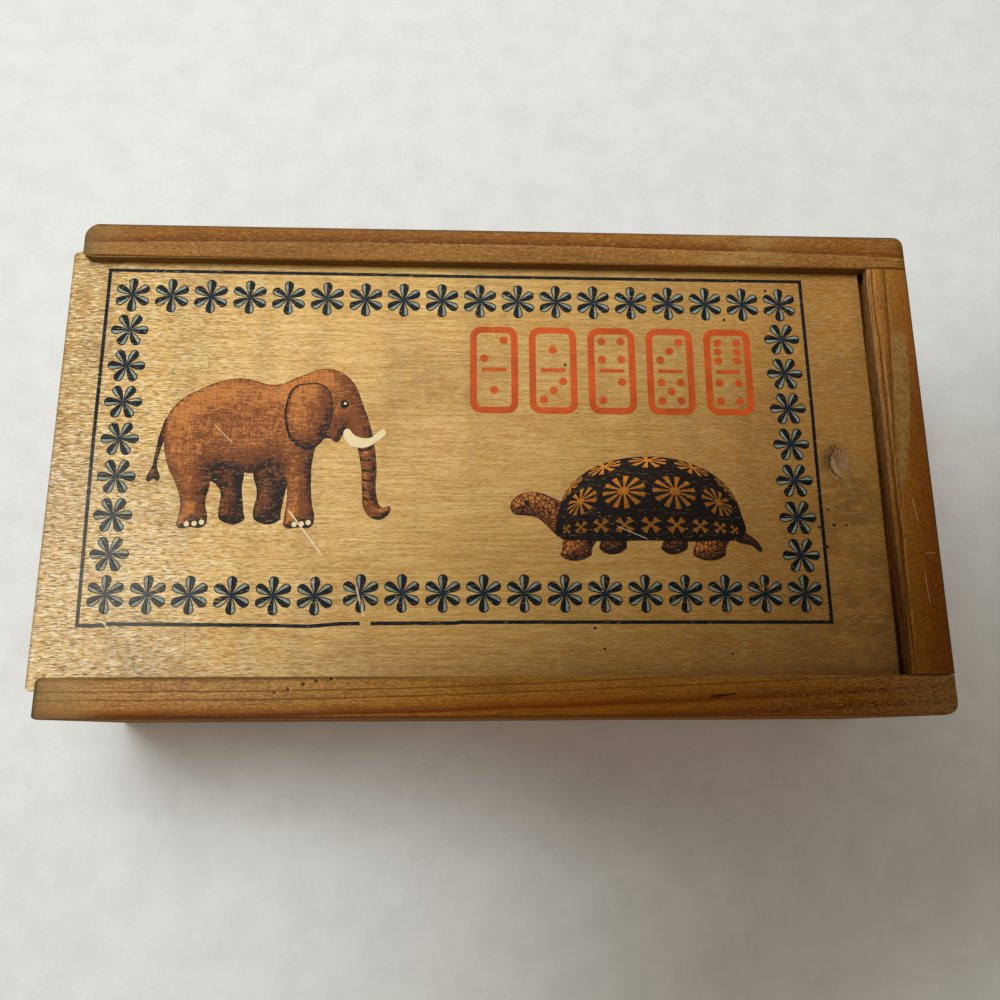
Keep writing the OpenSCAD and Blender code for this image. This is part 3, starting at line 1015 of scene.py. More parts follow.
@box_operator
class DOMINOBOX_OT_brads(bpy.types.Operator):
    """Give the brads their dull steel"""

    bl_idname = "dominobox.brads"
    bl_label = "Brads"

    def execute(self, context):
        steel = steel_finish()
        for node in ("rail_brads", "base_brads"):
            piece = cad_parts[node]
            for slot in piece.material_slots:
                slot.material = steel
        return {"FINISHED"}


# Print

PRINT_SINK = 0.02 * MM                    # how far the print reaches into the veneer
LAYER = 0.006                             # how far each layer of ink lies over the last, in mm

BORDER = ((-86.45, -34.86), (68.85, -34.53), (68.54, 43.52), (-87.10, 43.80))   # line's middle
SAGS = (                                  # side's middle, how far it bows, and along which axis
    ((-72.0, -34.8), -0.05, 1), ((-45.0, -34.8), -0.38, 1), ((-40.0, -34.8), -0.30, 1),
    ((-87.0, 3.0), -0.27, 0), ((-10.0, 43.6), -0.10, 1), ((-33.6, -34.7), 0.16, 1),
    ((-9.0, -34.7), 0.20, 1), ((68.7, 10.0), 0.10, 0),
)
STEP_X, STEP_DROP = -80.75, 0.30          # left of this the lower line was laid lower
GAP = (-29.6, -27.4)                      # break in the lower line
LOWER_SIDE = -30 * MM                     # only the lower line lies below this
SAG_REACH = 1.5 * MM                      # how near the line a corner has to be to bow with it
STRIPS = (                                # first and last floret, how many, and their turn
    ((-81.45, -28.82), (-38.98, -29.10), 6, 0), ((-29.60, -28.55), (63.68, -28.55), 12, 0),
    ((-81.74, 37.90), (-30.41, 37.52), 7, 0), ((-21.92, 37.54), (63.28, 37.62), 11, 0),
    ((-81.43, -20.45), (-81.68, 29.50), 7, 90), ((63.57, -20.35), (63.25, 29.18), 7, 90),
)


def lid_top():
    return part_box("sliding_lid")[1].z


def thicken(shape, lift):
    """Gives flat print a body: from just inside the veneer to lift above it."""
    bmesh.ops.recalc_face_normals(shape, faces=shape.faces)
    for face in shape.faces:
        if face.normal.z < 0:
            face.normal_flip()
    grown = bmesh.ops.extrude_face_region(shape, geom=shape.faces[:])
    lower = {g for g in grown["geom"] if isinstance(g, bmesh.types.BMVert)}
    upper = [v for v in shape.verts if v not in lower]
    bmesh.ops.translate(shape, verts=upper, vec=(0, 0, lid_top() + lift))
    bmesh.ops.translate(shape, verts=list(lower), vec=(0, 0, lid_top() - PRINT_SINK))
    bmesh.ops.recalc_face_normals(shape, faces=shape.faces)


@box_operator
class DOMINOBOX_OT_border(bpy.types.Operator):
    """Print the border line"""

    bl_idname = "dominobox.border"
    bl_label = "Border line"

    def execute(self, context):
        look = context.scene.dominobox_print
        shape = bmesh.new()
        bmesh.ops.create_circle(shape, cap_ends=True, segments=4, radius=1)
        half = look.line / 2
        ordered = sorted(shape.verts, key=lambda v: math.atan2(v.co.y, v.co.x))
        for vert, (x, y) in zip(ordered, BORDER):
            vert.co = (x * MM + math.copysign(half, x), y * MM + math.copysign(half, y), 0)
        bmesh.ops.inset_region(
            shape, faces=shape.faces[:], thickness=look.line, use_boundary=True,
            use_even_offset=True
        )
        inner = max(shape.faces, key=lambda f: f.calc_area())
        bmesh.ops.delete(shape, geom=[inner], context="FACES_ONLY")
        ink = ink_finish("border_ink", lambda f: look.ink, 0.45)
        self.break_line(shape)
        thicken(shape, look.lift)
        finished("border_line", shape, [ink], "lid")
        return {"FINISHED"}

    def break_line(self, shape):
        """The line bows a little; the lower one is stepped near its left end and broken once."""
        for x in (STEP_X, *GAP):
            slice_at(shape, (x * MM, 0, 0), (1, 0, 0))
        for middle, bow, axis in SAGS:
            place = Vector((*middle, 0)) * MM
            slice_at(shape, place, (axis, 1 - axis, 0))
            moved = [v for v in shape.verts
                     if abs(v.co[1 - axis] - place[1 - axis]) < WELD
                     and abs(v.co[axis] - place[axis]) < SAG_REACH]
            shift = (bow * MM * (1 - axis), bow * MM * axis, 0)
            bmesh.ops.translate(shape, verts=moved, vec=shift)
        lower = [f for f in shape.faces if f.calc_center_median().y < LOWER_SIDE]
        gone = [f for f in lower if GAP[0] * MM < f.calc_center_median().x < GAP[1] * MM]
        bmesh.ops.delete(shape, geom=gone, context="FACES")
        left = [f for f in shape.faces
                if f.calc_center_median().y < LOWER_SIDE and f.calc_center_median().x < STEP_X * MM]
        seam = {e for f in left for e in f.edges
                if all(abs(v.co.x - STEP_X * MM) < WELD for v in e.verts)}
        bmesh.ops.split_edges(shape, edges=list(seam))
        low = {v for f in left if f.is_valid for v in f.verts if v.co.y < LOWER_SIDE}
        bmesh.ops.translate(shape, verts=list(low), vec=(0, -STEP_DROP * MM, 0))


PETALS = 6                                # petals of a floret
PETAL_TAPER = 0.42                        # how much narrower a petal is at its foot
PETAL_FOOT = 0.3 * MM                     # how near its foot comes to the floret's middle
PETAL_SPLIT = 0.35                        # where its halves part, in widths of its outline
HEART = (1.15, 0.6)                       # outer and inner reach of its star, in millimetres


def petal(shape, look):
    """One petal pointing along +Y: the half clockwise of its midline is dark."""
    tip = look.petal_w / 2
    middle = look.petal - tip
    disc = bmesh.ops.create_circle(shape, cap_ends=True, segments=18, radius=tip)
    for vert in disc["verts"]:
        if vert.co.y < 0:
            share_down = -vert.co.y / tip
            vert.co.x *= 1 - PETAL_TAPER * share_down
            vert.co.y = -share_down * (middle - PETAL_FOOT)
        vert.co.y += middle
    slice_at(shape, (look.outline * PETAL_SPLIT, 0, 0), (1, 0, 0))
    light = min(shape.faces, key=lambda f: f.calc_center_median().x)
    bmesh.ops.inset_region(
        shape, faces=[light], thickness=look.outline, use_boundary=True, use_even_offset=True
    )
    light.material_index = 1


def floret(look):
    """Six petals round a small blue star."""
    shape = bmesh.new()
    petal(shape, look)
    bmesh.ops.spin(
        shape, geom=everything(shape), cent=(0, 0, 0), axis=(0, 0, 1), dvec=(0, 0, 0),
        angle=math.radians(360 / PETALS * (PETALS - 1)), steps=PETALS - 1, use_duplicate=True
    )
    star = bmesh.ops.create_circle(shape, cap_ends=True, segments=12, radius=1)
    for i, vert in enumerate(star["verts"]):
        vert.co = vert.co.normalized() * HEART[i % 2] * MM
        vert.co.z = LAYER * MM
    for face in {f for v in star["verts"] for f in v.link_faces}:
        face.material_index = 2
    return shape


def dimmed(tone, strength):
    """A darker share of a colour."""
    return tuple(c * strength for c in tone)


def petal_ink(f, look):
    """Thin pale ink, brushed grey in places."""
    brushed = f.noise(f.place, (1.5, 1.5, 0.0), 103.0, 2.0, 0.6)
    return f.mix(f.step(brushed, 0.46, 0.66) * 0.55, look.haze, dimmed(look.haze, 0.34))


@box_operator
class DOMINOBOX_OT_florets(bpy.types.Operator):
    """Print the ring of florets inside the border line"""

    bl_idname = "dominobox.florets"
    bl_label = "Florets"

    def execute(self, context):
        look = context.scene.dominobox_print
        model = floret(look)
        thicken(model, look.lift)
        template = bpy.data.meshes.new("floret")
        model.to_mesh(template)
        model.free()
        shape = bmesh.new()
        for x, y, turn in self.places():
            known = len(shape.verts)
            shape.from_mesh(template)
            shape.verts.ensure_lookup_table()
            bmesh.ops.transform(
                shape, verts=shape.verts[known:],
                matrix=Matrix.Translation((x * MM, y * MM, 0)) @ Matrix.Rotation(turn, 4, "Z")
            )
        bpy.data.meshes.remove(template)
        inks = [
            ink_finish("floret_ink", lambda f: look.ink, 0.5),
            ink_finish("petal_light", lambda f: petal_ink(f, look), 1.0),
            ink_finish("floret_heart", lambda f: look.heart, 0.3),
        ]
        finished("border_florets", shape, inks, "lid")
        return {"FINISHED"}

    def places(self):
        for first, last, count, turn in STRIPS:
            for i in range(count):
                place = Vector(first).lerp(Vector(last), i / (count - 1))
                yield place.x, place.y, math.radians(turn)


TILES_AT = (-1.8, 21.2)                   # middle of the first printed tile
TILE_PIPS = ((1, 2), (3, 1), (2, 4), (5, 3), (4, 6))
PIP_STEP = 2.15                           # from a half's middle to its outer pips
PIP_CORNERS = ((-1, -1), (1, -1), (-1, 1), (1, 1))
HALF_MIDDLE = 0.235                       # middle of a tile's half, in tile heights
TILE_CORNER = 0.24                        # reach of a tile's rounded corner, in tile widths
BAR_INSET, BAR_WIDTH = 3.4, 0.55          # a tile's bar, in strokes of its outline

ELEPHANT_AT = (-75.0, -14.5)
ELEPHANT_BODY = (
    (4, 26), (10, 30.6), (18, 33), (26, 31.6), (31, 33.6), (37, 35.4), (41.5, 33.4), (44.8, 27),
    (47, 20), (48, 13), (48.1, 7), (49.4, 4.2), (51, 4.4), (50.5, 2.5), (48, 1.6), (45.7, 3.5),
    (45, 8), (44.5, 14), (43, 18.8), (41, 20.5), (39.4, 18.6), (37.5, 19.5), (35.6, 18.6),
    (34.4, 15), (34.2, 10), (34.6, 5), (35.2, 1.6), (34.6, 0), (32, -0.2), (29, 0), (28.9, 1.6),
    (29.3, 6), (28.6, 11), (27, 12.8), (22, 11.6), (16.6, 12.2), (13.8, 11.8), (13, 8.6),
    (12.4, 5), (13, 1.6), (12.4, 0), (9.6, -0.2), (6.8, 0), (6.9, 1.6), (7.2, 5), (6.0, 9),
    (4.0, 13), (2.8, 18), (2.7, 22),
)
ELEPHANT_EAR = (
    (32.6, 32), (36.4, 31.4), (38.2, 27.4), (37.4, 21.5), (34.2, 17.2), (30.4, 18), (28.2, 22.5),
    (28.2, 27.8), (29.8, 31.2),
)
ELEPHANT_EAR_INSIDE = [
    ((x - 33) * 0.93 + 33.1, (y - 25) * 0.94 + 25.2) for x, y in ELEPHANT_EAR
]
ELEPHANT_TUSK = (
    (41.2, 21.6), (43.4, 20.0), (46.4, 19.6), (49.6, 21.4), (47.6, 18.6), (44.4, 17.4), (41.2, 19),
)
ELEPHANT_FAR_LEGS = (
    ((22.5, 13), (23, 7), (22.4, 2.6), (22.8, 1.4), (28, 1.4), (28.2, 3), (29, 8), (30, 13)),
    ((10, 13), (15.2, 8), (15.2, 3), (15.6, 1.4), (20.6, 1.4), (20.4, 3.2), (19.8, 8), (19.4, 13)),
)
ELEPHANT_TAIL = (
    (3.6, 24), (2.0, 21), (1.2, 16.6), (0.8, 13.2), (0.0, 9.6), (1.2, 10.2), (2.2, 9.8),
    (1.7, 13.2), (2.2, 16.6), (3.2, 20.4),
)
ELEPHANT_EYE = (40.7, 27.2)
ELEPHANT_GLINT = (40.85, 27.4)
NAIL = 0.55                               # half a toenail's width
ELEPHANT_NAILS = ((34.0, 0.9), (32.6, 0.6), (31.1, 0.5), (11.9, 0.9), (10.4, 0.6), (8.8, 0.5))
FOLD_HALF = 0.16                          # half a fold's thickness
TRUNK_FOLDS = (                           # left and right end of each fold
    ((43.9, 17.0), (46.9, 17.6)), ((44.4, 14.8), (47.3, 15.2)), ((44.7, 12.6), (47.6, 12.8)),
    ((44.9, 10.4), (47.7, 10.5)), ((45.0, 8.4), (47.7, 8.3)), ((45.4, 6.4), (47.7, 6.2)),
)

TORTOISE_AT = (11.5, -20.5)
SHELL_SPAN, SHELL_RISE, SHELL_RIM = 40.0, 17.5, 4.4
SHELL_STEPS = 16                          # points along the shell's ridge
SHELL_FOOT = ((34.0, 3.3), (20.0, 3.3), (6.0, 3.3))
# Rows of plates on the shell's ridge, side and rim: how many, the first one's place and their
# pitch along the shell, their height, their reach along and up, and how many rays each has
SCUTES = (
    (5, 0.18, 0.16, 0.80, 0.068, 0.15, 9),
    (4, 0.23, 0.18, 0.39, 0.080, 0.17, 11),
    (9, 0.14, 0.09, 0.085, 0.038, 0.075, 4),
)
RAY_ENDS = (0.10, 0.98)                   # where a ray starts and stops, in a plate's reach
RAY_FILL = 0.46                           # half a ray's share of its turn
PLATE_SPOT = 0.24                         # reach of the spot in a plate's middle
TORTOISE_HEAD = (
    (5, 6), (3, 10.4), (-0.6, 12.4), (-3.6, 13.6), (-6.8, 13.6), (-9.2, 12.2), (-10, 10.4),
    (-9.2, 9.0), (-7, 8.6), (-4.4, 8.2), (-2, 6.2), (1, 3.8),
)
TORTOISE_LEGS = (
    ((3, 6.4), (1.2, 3.4), (0.9, 1.0), (0.6, 0), (7.0, 0), (7.2, 1.2), (8.4, 3.4), (9.6, 6.4)),
    ((29, 6.2), (29.6, 3), (28.8, 0.9), (29.0, 0), (35.6, 0), (35.9, 1.6), (37.2, 4), (38, 6.8)),
)
TORTOISE_FAR_LEGS = (
    ((10, 6), (9.2, 3.2), (9.0, 1.3), (14.4, 1.3), (14.8, 3.2), (16, 6)),
    ((23, 6), (22.6, 3.2), (22.2, 1.3), (27.4, 1.3), (27.9, 3.2), (29, 6)),
)
TORTOISE_TAIL = ((37, 6), (41, 4.6), (43.4, 2.2), (43.6, 1.0), (41.6, 2.2), (38, 3.4))
TORTOISE_EYE = (-6.4, 11.4)

CELL = 0.9                                # pitch of the points that carry a figure's modelling
RIM_STEP = 0.1 * MM                       # spacing of the points that stand for an outline
LIGHT_FROM = Vector((-0.45, 0.62, 0.64))  # where the light in the drawings comes from
NEAR_SKIN, FAR_SKIN, DARK, BRIGHT = range(4)      # a figure's inks, in the order it lists them


def drawn(points, at=(0, 0), smooth=True):
    """A filled flat shape whose outline runs through the points."""
    curve = bpy.data.curves.new("outline", "CURVE")
    curve.dimensions = "2D"
    curve.fill_mode = "BOTH"
    curve.resolution_u = 5 if smooth else 1
    spline = curve.splines.new("BEZIER")
    spline.use_cyclic_u = True
    spline.bezier_points.add(len(points) - 1)
    for point, (x, y) in zip(spline.bezier_points, points):
        point.co = ((x + at[0]) * MM, (y + at[1]) * MM, 0)
        point.handle_left_type = point.handle_right_type = "AUTO" if smooth else "VECTOR"
    holder = bpy.data.objects.new("outline", curve)
    mesh = bpy.data.meshes.new_from_object(holder)
    bpy.data.objects.remove(holder)
    bpy.data.curves.remove(curve)
    return mesh


def blob(x, y, reach):
    """Points of a round spot."""
    return (x - reach, y), (x, y + reach), (x + reach, y), (x, y - reach)


def lay(shape, points, at, layer, ink, roundness=0.0, smooth=True):
    """Lays one flat figure into shape. roundness is how deep its edge is modelled, in mm."""
    mesh = drawn(points, at, smooth)
    part = bmesh.new()
    part.from_mesh(mesh)
    bpy.data.meshes.remove(mesh)
    bmesh.ops.remove_doubles(part, verts=part.verts, dist=WELD)
    form = part.verts.layers.float.new("form")
    if roundness:
        rim = rim_tree(part)
        low = [min(v.co[i] for v in part.verts) for i in range(2)]
        high = [max(v.co[i] for v in part.verts) for i in range(2)]
        for axis in range(2):
            cut_across(part, low, high, axis, CELL * MM)
    for vert in part.verts:
        vert[form] = lit(vert.co, rim, roundness * MM) if roundness else 0.5
        vert.co.z = layer * LAYER * MM
    for face in part.faces:
        face.material_index = ink
    figure = bpy.data.meshes.new("figure")
    part.to_mesh(figure)
    part.free()
    shape.from_mesh(figure)
    bpy.data.meshes.remove(figure)


def rim_tree(part):
    """Points set closely along a figure's outline, for finding the nearest one."""
    rim = [[v.co.copy() for v in e.verts] for e in part.edges if e.is_boundary]
    places = []
    for start, end in rim:
        count = max(1, math.ceil((end - start).length / RIM_STEP))
        places += [start.lerp(end, i / count) for i in range(count)]
    tree = KDTree(len(places))
    for i, place in enumerate(places):
        tree.insert(place, i)
    tree.balance()
    return tree


def lit(place, rim, roundness):
    """How much light a point of a figure gets where its edge is modelled as round."""
    nearest, _, far = rim.find(place)
    lean = 1 - min(far / roundness, 1)
    outward = (nearest - place).normalized() if far > RIM_STEP / 2 else Vector()
    normal = outward * lean + Vector((0, 0, math.sqrt(1 - lean * lean)))
    return 0.5 + 0.5 * normal.dot(LIGHT_FROM)


def dome(along, up):
    """A place on the side of the tortoise's shell: 0 to 1 from head to tail, 0 to 1 rim to ridge."""
    x = SHELL_SPAN / 2 * (1 - math.cos(math.pi * along))
    rise = math.sin(math.pi * along) ** 0.75
    return x, SHELL_RIM + SHELL_RISE * math.sin(up * math.pi / 2) * rise


def printed(name, shape, inks):
    """Finishes a laid figure as a piece that rides on the lid."""
    thicken(shape, bpy.context.scene.dominobox_print.lift)
    finished(name, shape, inks, "lid")


@box_operator
class DOMINOBOX_OT_tiles(bpy.types.Operator):
    """Print the row of orange domino tiles"""

    bl_idname = "dominobox.tiles"
    bl_label = "Printed tiles"

    def execute(self, context):
        look = context.scene.dominobox_print
        shape = bmesh.new()
        for i, halves in enumerate(TILE_PIPS):
            middle = Vector((TILES_AT[0] * MM + i * look.tile_pitch, TILES_AT[1] * MM, 0))
            self.outline(shape, look, middle)
            for half, count in zip((-1, 1), halves):
                offset = Vector((0, half * look.tile_h * HALF_MIDDLE, 0))
                self.pips(shape, look, middle + offset, count)
        printed("print_tiles", shape, [ink_finish("orange_ink", lambda f: tile_ink(f, look), 0.35)])
        return {"FINISHED"}

    def outline(self, shape, look, middle):
        corners = self.oblong(shape, middle, look.tile_w, look.tile_h)
        bmesh.ops.bevel(
            shape, geom=corners, offset=look.tile_w * TILE_CORNER, segments=5, profile=0.5,
            affect="VERTICES", material=-1
        )
        plate = [f for f in shape.faces if (f.calc_center_median() - middle).length < MM
                 and f.calc_area() > look.tile_w * look.tile_h / 2]
        bmesh.ops.inset_region(
            shape, faces=plate, thickness=look.stroke, use_boundary=True, use_even_offset=True
        )
        bmesh.ops.delete(shape, geom=plate, context="FACES_ONLY")
        bar = look.tile_w - BAR_INSET * look.stroke
        self.oblong(shape, middle, bar, look.stroke * BAR_WIDTH)

    def oblong(self, shape, middle, width, height):
        """Adds a flat rectangle and gives its corners."""
        corners = bmesh.ops.create_grid(shape, x_segments=1, y_segments=1, size=0.5)["verts"]
        bmesh.ops.scale(shape, verts=corners, vec=(width, height, 1))
        bmesh.ops.translate(shape, verts=corners, vec=middle)
        return corners

    def pips(self, shape, look, middle, count):
        places = [(0, 0)] if count % 2 else []
        if count > 3:
            places += PIP_CORNERS
        elif count > 1:
            places += PIP_CORNERS[::3]
        if count == 6:
            places += [(-1, 0), (1, 0)]
        for x, y in places:
            pip = bmesh.ops.create_circle(shape, cap_ends=True, segments=16, radius=look.pip)
            offset = Vector((x, y, 0)) * PIP_STEP * MM
            bmesh.ops.translate(shape, verts=pip["verts"], vec=middle + offset)


def tile_ink(f, look):
    """Orange screen ink, thicker in some places than in others."""
    cloud = f.noise(f.place, (0.12, 0.12, 0.0), 91.0, 3.0, 0.6)
    dots = f.noise(f.place, (2.2, 2.2, 0.0), 93.0, 1.0)
    thick = f.step(cloud + (dots - 0.5) * 0.4, 0.35, 0.7)
    return f.mix(thick, look.orange, dimmed(look.orange, 0.72))


def hide_ink(f, look, depth=0.0):
    """Modelled hide: folds over the light and shade that the figure's points carry."""
    form = f.add("ShaderNodeAttribute", {"attribute_name": "form"}, out="Fac")
    folds = f.noise(f.place, (0.30, 1.5, 0.0), 95.0, 3.0, 0.6, 1.4)
    creases = f.noise(f.place, (1.5, 0.40, 0.0), 97.0, 3.0, 0.6, 1.4)
    dots = f.noise(f.place, (3.2, 3.2, 0.0), 99.0, 1.0)
    light = form + (folds - 0.5) * 0.75 + (creases - 0.5) * 0.65 + (dots - 0.5) * 0.35 - depth
    tone = f.mix(f.step(light, 0.34, 0.66), look.hide_dark, look.hide)
    return f.mix(f.step(light, 0.72, 1.02), tone, look.hide_light)


@box_operator
class DOMINOBOX_OT_elephant(bpy.types.Operator):
    """Print the elephant"""

    bl_idname = "dominobox.elephant"
    bl_label = "Printed elephant"

    def execute(self, context):
        look = context.scene.dominobox_print
        at = ELEPHANT_AT
        shape = bmesh.new()
        for leg in ELEPHANT_FAR_LEGS:
            lay(shape, leg, at, 0, FAR_SKIN, 2.5)
        lay(shape, ELEPHANT_TAIL, at, 1, FAR_SKIN, 1.0)
        lay(shape, ELEPHANT_BODY, at, 2, NEAR_SKIN, 6.5)
        lay(shape, ELEPHANT_EAR, at, 4, DARK)
        lay(shape, ELEPHANT_EAR_INSIDE, at, 5, NEAR_SKIN, 4.0)
        lay(shape, ELEPHANT_TUSK, at, 5, BRIGHT)
        for start, end in TRUNK_FOLDS:
            lay(shape, self.fold(start, end, FOLD_HALF), at, 4, DARK)
        for x, y in ELEPHANT_NAILS:
            lay(shape, blob(x, y, NAIL), at, 4, BRIGHT)
        lay(shape, blob(*ELEPHANT_EYE, 0.95), at, 5, DARK)
        lay(shape, blob(*ELEPHANT_GLINT, 0.3), at, 6, BRIGHT)
        printed("print_elephant", shape, [
            ink_finish("hide_ink", lambda f: hide_ink(f, look), 0.3),
            ink_finish("hide_far_ink", lambda f: hide_ink(f, look, 0.35), 0.3),
            ink_finish("hide_line_ink", lambda f: look.hide_dark, 0.2),
            ink_finish("ivory_ink", lambda f: look.ivory, 0.3),
        ])
        return {"FINISHED"}

    def fold(self, start, end, half):
        """A thin lens from start to end, sagging in the middle."""
        (x0, y0), (x1, y1) = start, end
        x, y = (x0 + x1) / 2, (y0 + y1) / 2 - 0.5
        return (x0, y0), (x, y + half), (x1, y1), (x, y - half)


@box_operator
class DOMINOBOX_OT_tortoise(bpy.types.Operator):
    """Print the star-patterned tortoise"""

    bl_idname = "dominobox.tortoise"
    bl_label = "Printed tortoise"

    def execute(self, context):
        look = context.scene.dominobox_print
        at = TORTOISE_AT
        shape = bmesh.new()
        for leg in TORTOISE_FAR_LEGS:
            lay(shape, leg, at, 0, FAR_SKIN, 2.0)
        lay(shape, TORTOISE_TAIL, at, 1, FAR_SKIN, 1.5)
        for part in (*TORTOISE_LEGS, TORTOISE_HEAD):
            lay(shape, part, at, 2, NEAR_SKIN, 3.0)
        lay(shape, blob(*TORTOISE_EYE, 0.6), at, 4, DARK)
        ridge = [dome(i / SHELL_STEPS, 1.0) for i in range(SHELL_STEPS + 1)]
        lay(shape, [*ridge, *SHELL_FOOT], at, 4, DARK, 5.0)
        for count, first, pitch, *plate in SCUTES:
            for i in range(count):
                self.star(shape, at, first + i * pitch, *plate)
        printed("print_tortoise", shape, [
            ink_finish("scale_ink", lambda f: scale_ink(f, look), 0.3),
            ink_finish("scale_far_ink", lambda f: scale_ink(f, look, 0.3), 0.3),
            ink_finish("shell_ink", lambda f: shell_ink(f, look.shell), 0.25),
            ink_finish("ray_ink", lambda f: shell_ink(f, look.ray), 0.35),
        ])
        return {"FINISHED"}

    def star(self, shape, at, along, up, reach_along, reach_up, rays):
        """Wedges that spread from the middle of a plate to its edge."""
        def on_plate(far, turn):
            return dome(along + reach_along * far * math.cos(turn),
                        up + reach_up * far * math.sin(turn))

        for i in range(rays):
            middle = math.tau * (i + 0.5) / rays
            half = math.pi / rays * RAY_FILL
            start, stop = RAY_ENDS
            wedge = ((start, middle - half), (stop, middle - half), (stop, middle + half),
                     (start, middle + half))
            points = [on_plate(far, turn) for far, turn in wedge]
            lay(shape, points, at, 5, BRIGHT, smooth=False)
        spot = [on_plate(PLATE_SPOT, math.tau * i / 8) for i in range(8)]
        lay(shape, spot, at, 6, BRIGHT)


def scale_ink(f, look, depth=0.0):
    """Scaly skin over the light and shade that the figure's points carry."""
    form = f.add("ShaderNodeAttribute", {"attribute_name": "form"}, out="Fac")
    cells = f.add("ShaderNodeTexVoronoi", {"feature": "DISTANCE_TO_EDGE"},
                  {"Vector": f.place, "Scale": 1.05}, "Distance")
    seams = f.step(cells, 0.14, 0.04)
    light = form - seams * 0.45 - depth
    tone = f.mix(f.step(light, 0.30, 0.66), look.hide_dark, look.hide)
    return f.mix(f.step(light, 0.68, 0.95), tone, look.hide_light)


def shell_ink(f, ink):
    """Ink of the shell, paler towards the lit side of the dome."""
    form = f.y * 0.035 - f.x * 0.008 + 1.0
    growth = f.noise(f.place, (1.4, 1.4, 0.0), 101.0, 2.0, 0.6, 0.5)
    lit_ink = tuple(min(1.0, c * 1.5 + 0.004) for c in ink)
    return f.mix(f.step(form + (growth - 0.5) * 0.5, 0.35, 1.0), dimmed(ink, 0.42), lit_ink)


# Studio

FLOOR_HALF = 2.0                          # half the table's side, in metres
FLOOR_DROP = 0.1 * MM                     # how far the table lies under the box
NEAR_CLIP = 0.01                          # nearest thing the camera sees, in metres
FELT = linear(8, 8, 8), linear(20, 20, 20)        # darkest and lightest tone of the card


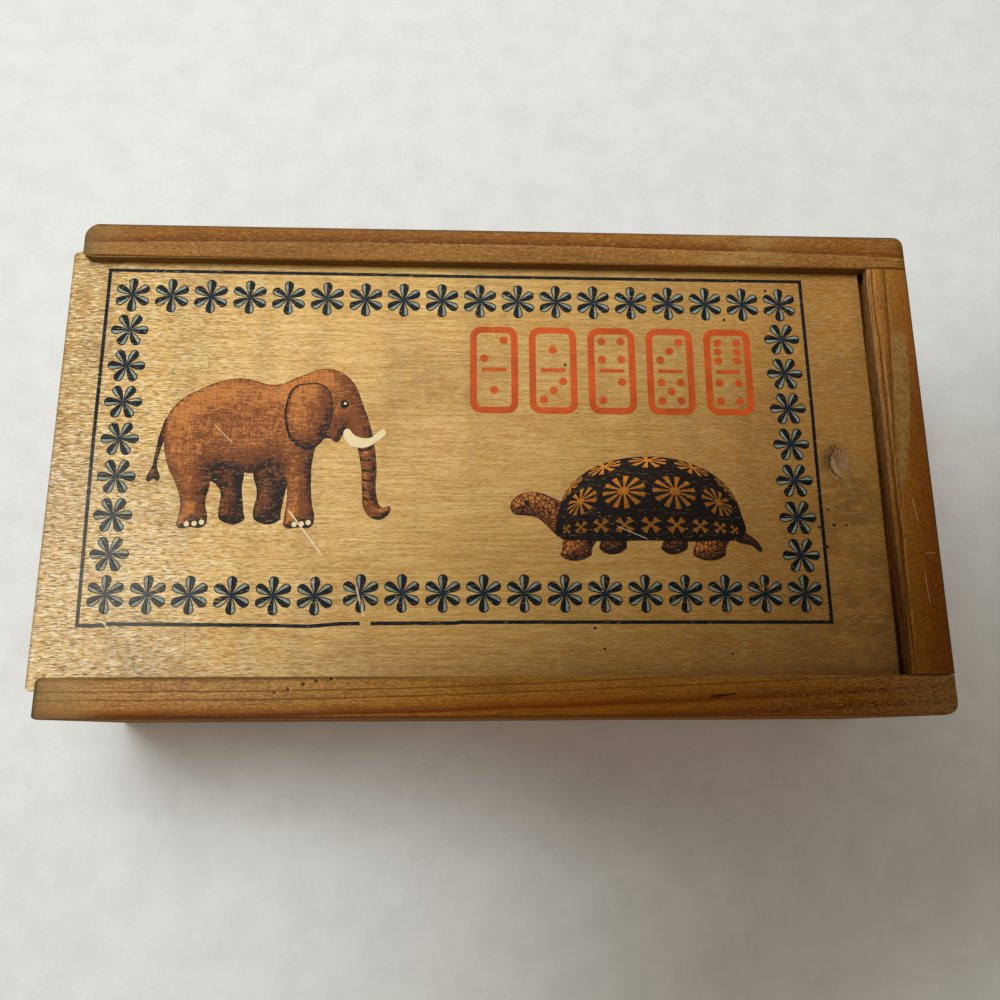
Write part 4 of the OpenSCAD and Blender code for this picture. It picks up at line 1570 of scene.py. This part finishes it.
@box_operator
class DOMINOBOX_OT_studio(bpy.types.Operator):
    """Set the floor, the camera and the soft light"""

    bl_idname = "dominobox.studio"
    bl_label = "Studio"

    def execute(self, context):
        look = context.scene.dominobox_studio
        self.floor(look)
        self.camera(context, look)
        self.lamp(look)
        self.card(look)
        self.room(context, look)
        context.scene.view_settings.view_transform = "Standard"
        return {"FINISHED"}

    def floor(self, look):
        f = Finish("pale_table")
        mottle = f.noise(f.place, (0.12, 0.12, 0.12), 61.0, 4.0, 0.6)
        grainy = f.noise(f.place, (0.9, 0.9, 0.9), 63.0, 2.0)
        tone = f.mix(f.step(mottle, 0.35, 0.7), look.floor, dimmed(look.floor, 0.93))
        material = f.close(tone, 0.5 + grainy * 0.15, f.bump(grainy + mottle, 0.05))
        shape = bmesh.new()
        bmesh.ops.create_grid(shape, x_segments=8, y_segments=8, size=FLOOR_HALF)
        bmesh.ops.translate(shape, verts=shape.verts, vec=(0, 0, -FLOOR_DROP))
        self.staged("table", shape, material)

    def staged(self, name, shape, material):
        """Turns a bmesh into a thing of the studio, which isn't part of the box."""
        thing = made(name, shape, [material])
        return thing

    def camera(self, context, look):
        data = bpy.data.cameras.new("camera")
        data.lens = look.lens
        data.clip_start = NEAR_CLIP
        camera = bpy.data.objects.new("camera", data)
        camera.rotation_mode = "ZYX"
        camera.location = look.camera_place
        camera.rotation_euler = look.camera_turn
        context.scene.collection.objects.link(camera)
        context.scene.camera = camera

    def lamp(self, look):
        data = bpy.data.lights.new("softbox", "AREA")
        data.shape = "RECTANGLE"
        data.size = look.key_size
        data.size_y = look.key_depth
        data.energy = look.key_power
        data.color = look.key_tint
        lamp = bpy.data.objects.new("softbox", data)
        lamp.location = look.key_place
        facing = Vector(look.key_aim) - Vector(look.key_place)
        lamp.rotation_euler = facing.to_track_quat("-Z", "Y").to_euler()
        lamp.visible_camera = False
        bpy.context.scene.collection.objects.link(lamp)

    def card(self, look):
        """A black card held over the front of the stop end, out of every camera's sight."""
        shape = bmesh.new()
        bmesh.ops.create_grid(shape, x_segments=4, y_segments=2, size=0.5)
        bmesh.ops.scale(shape, verts=shape.verts, vec=(2 * look.card_size, look.card_size, 1))
        bmesh.ops.transform(
            shape, verts=shape.verts,
            matrix=Matrix.Translation(look.card_place) @ Matrix.Rotation(look.card_turn, 4, "Z")
        )
        f = Finish("black_card")
        felt = f.noise(f.place, (0.8, 0.8, 0.8), 71.0)
        card = self.staged("card", shape, f.close(f.mix(felt, *FELT), 0.9 + felt * 0.1))
        card.visible_camera = False
        card.visible_glossy = False

    def room(self, context, look):
        world = bpy.data.worlds.new("studio")
        world.use_nodes = True
        back = world.node_tree.nodes["Background"]
        back.inputs["Color"].default_value = (*look.fill_tint, 1.0)
        back.inputs["Strength"].default_value = look.fill
        context.scene.world = world


OPERATORS = (
    DOMINOBOX_OT_rails, DOMINOBOX_OT_ends, DOMINOBOX_OT_base, DOMINOBOX_OT_lid,
    DOMINOBOX_OT_brads, DOMINOBOX_OT_border, DOMINOBOX_OT_florets, DOMINOBOX_OT_tiles,
    DOMINOBOX_OT_elephant, DOMINOBOX_OT_tortoise, DOMINOBOX_OT_studio,
)
GROUPS = {
    "dominobox_pine": DOMINOBOX_PG_pine,
    "dominobox_ply": DOMINOBOX_PG_ply,
    "dominobox_print": DOMINOBOX_PG_print,
    "dominobox_studio": DOMINOBOX_PG_studio,
}


class DOMINOBOX_PT_sidebar(bpy.types.Panel):
    """Lists the pieces of the box"""

    bl_idname = "DOMINOBOX_PT_sidebar"
    bl_label = "Domino box"
    bl_space_type = "VIEW_3D"
    bl_region_type = "UI"
    bl_category = "Domino box"

    def draw(self, context):
        for operator in OPERATORS:
            self.layout.operator(operator.bl_idname)
        for group in GROUPS:
            box = self.layout.box()
            settings = getattr(context.scene, group)
            for name in settings.bl_rna.properties.keys():
                if name not in ("rna_type", "name"):
                    box.prop(settings, name)


def register():
    for group in GROUPS.values():
        bpy.utils.register_class(group)
    for name, group in GROUPS.items():
        setattr(bpy.types.Scene, name, PointerProperty(type=group))
    for operator in OPERATORS:
        bpy.utils.register_class(operator)
    bpy.utils.register_class(DOMINOBOX_PT_sidebar)


def unregister():
    bpy.utils.unregister_class(DOMINOBOX_PT_sidebar)
    for operator in reversed(OPERATORS):
        bpy.utils.unregister_class(operator)
    for name, group in reversed(GROUPS.items()):
        delattr(bpy.types.Scene, name)
        bpy.utils.unregister_class(group)


def main():
    register()
    for operator in OPERATORS:
        family, name = operator.bl_idname.split(".")
        getattr(getattr(bpy.ops, family), name)()


if __name__ == "__main__":
    main()
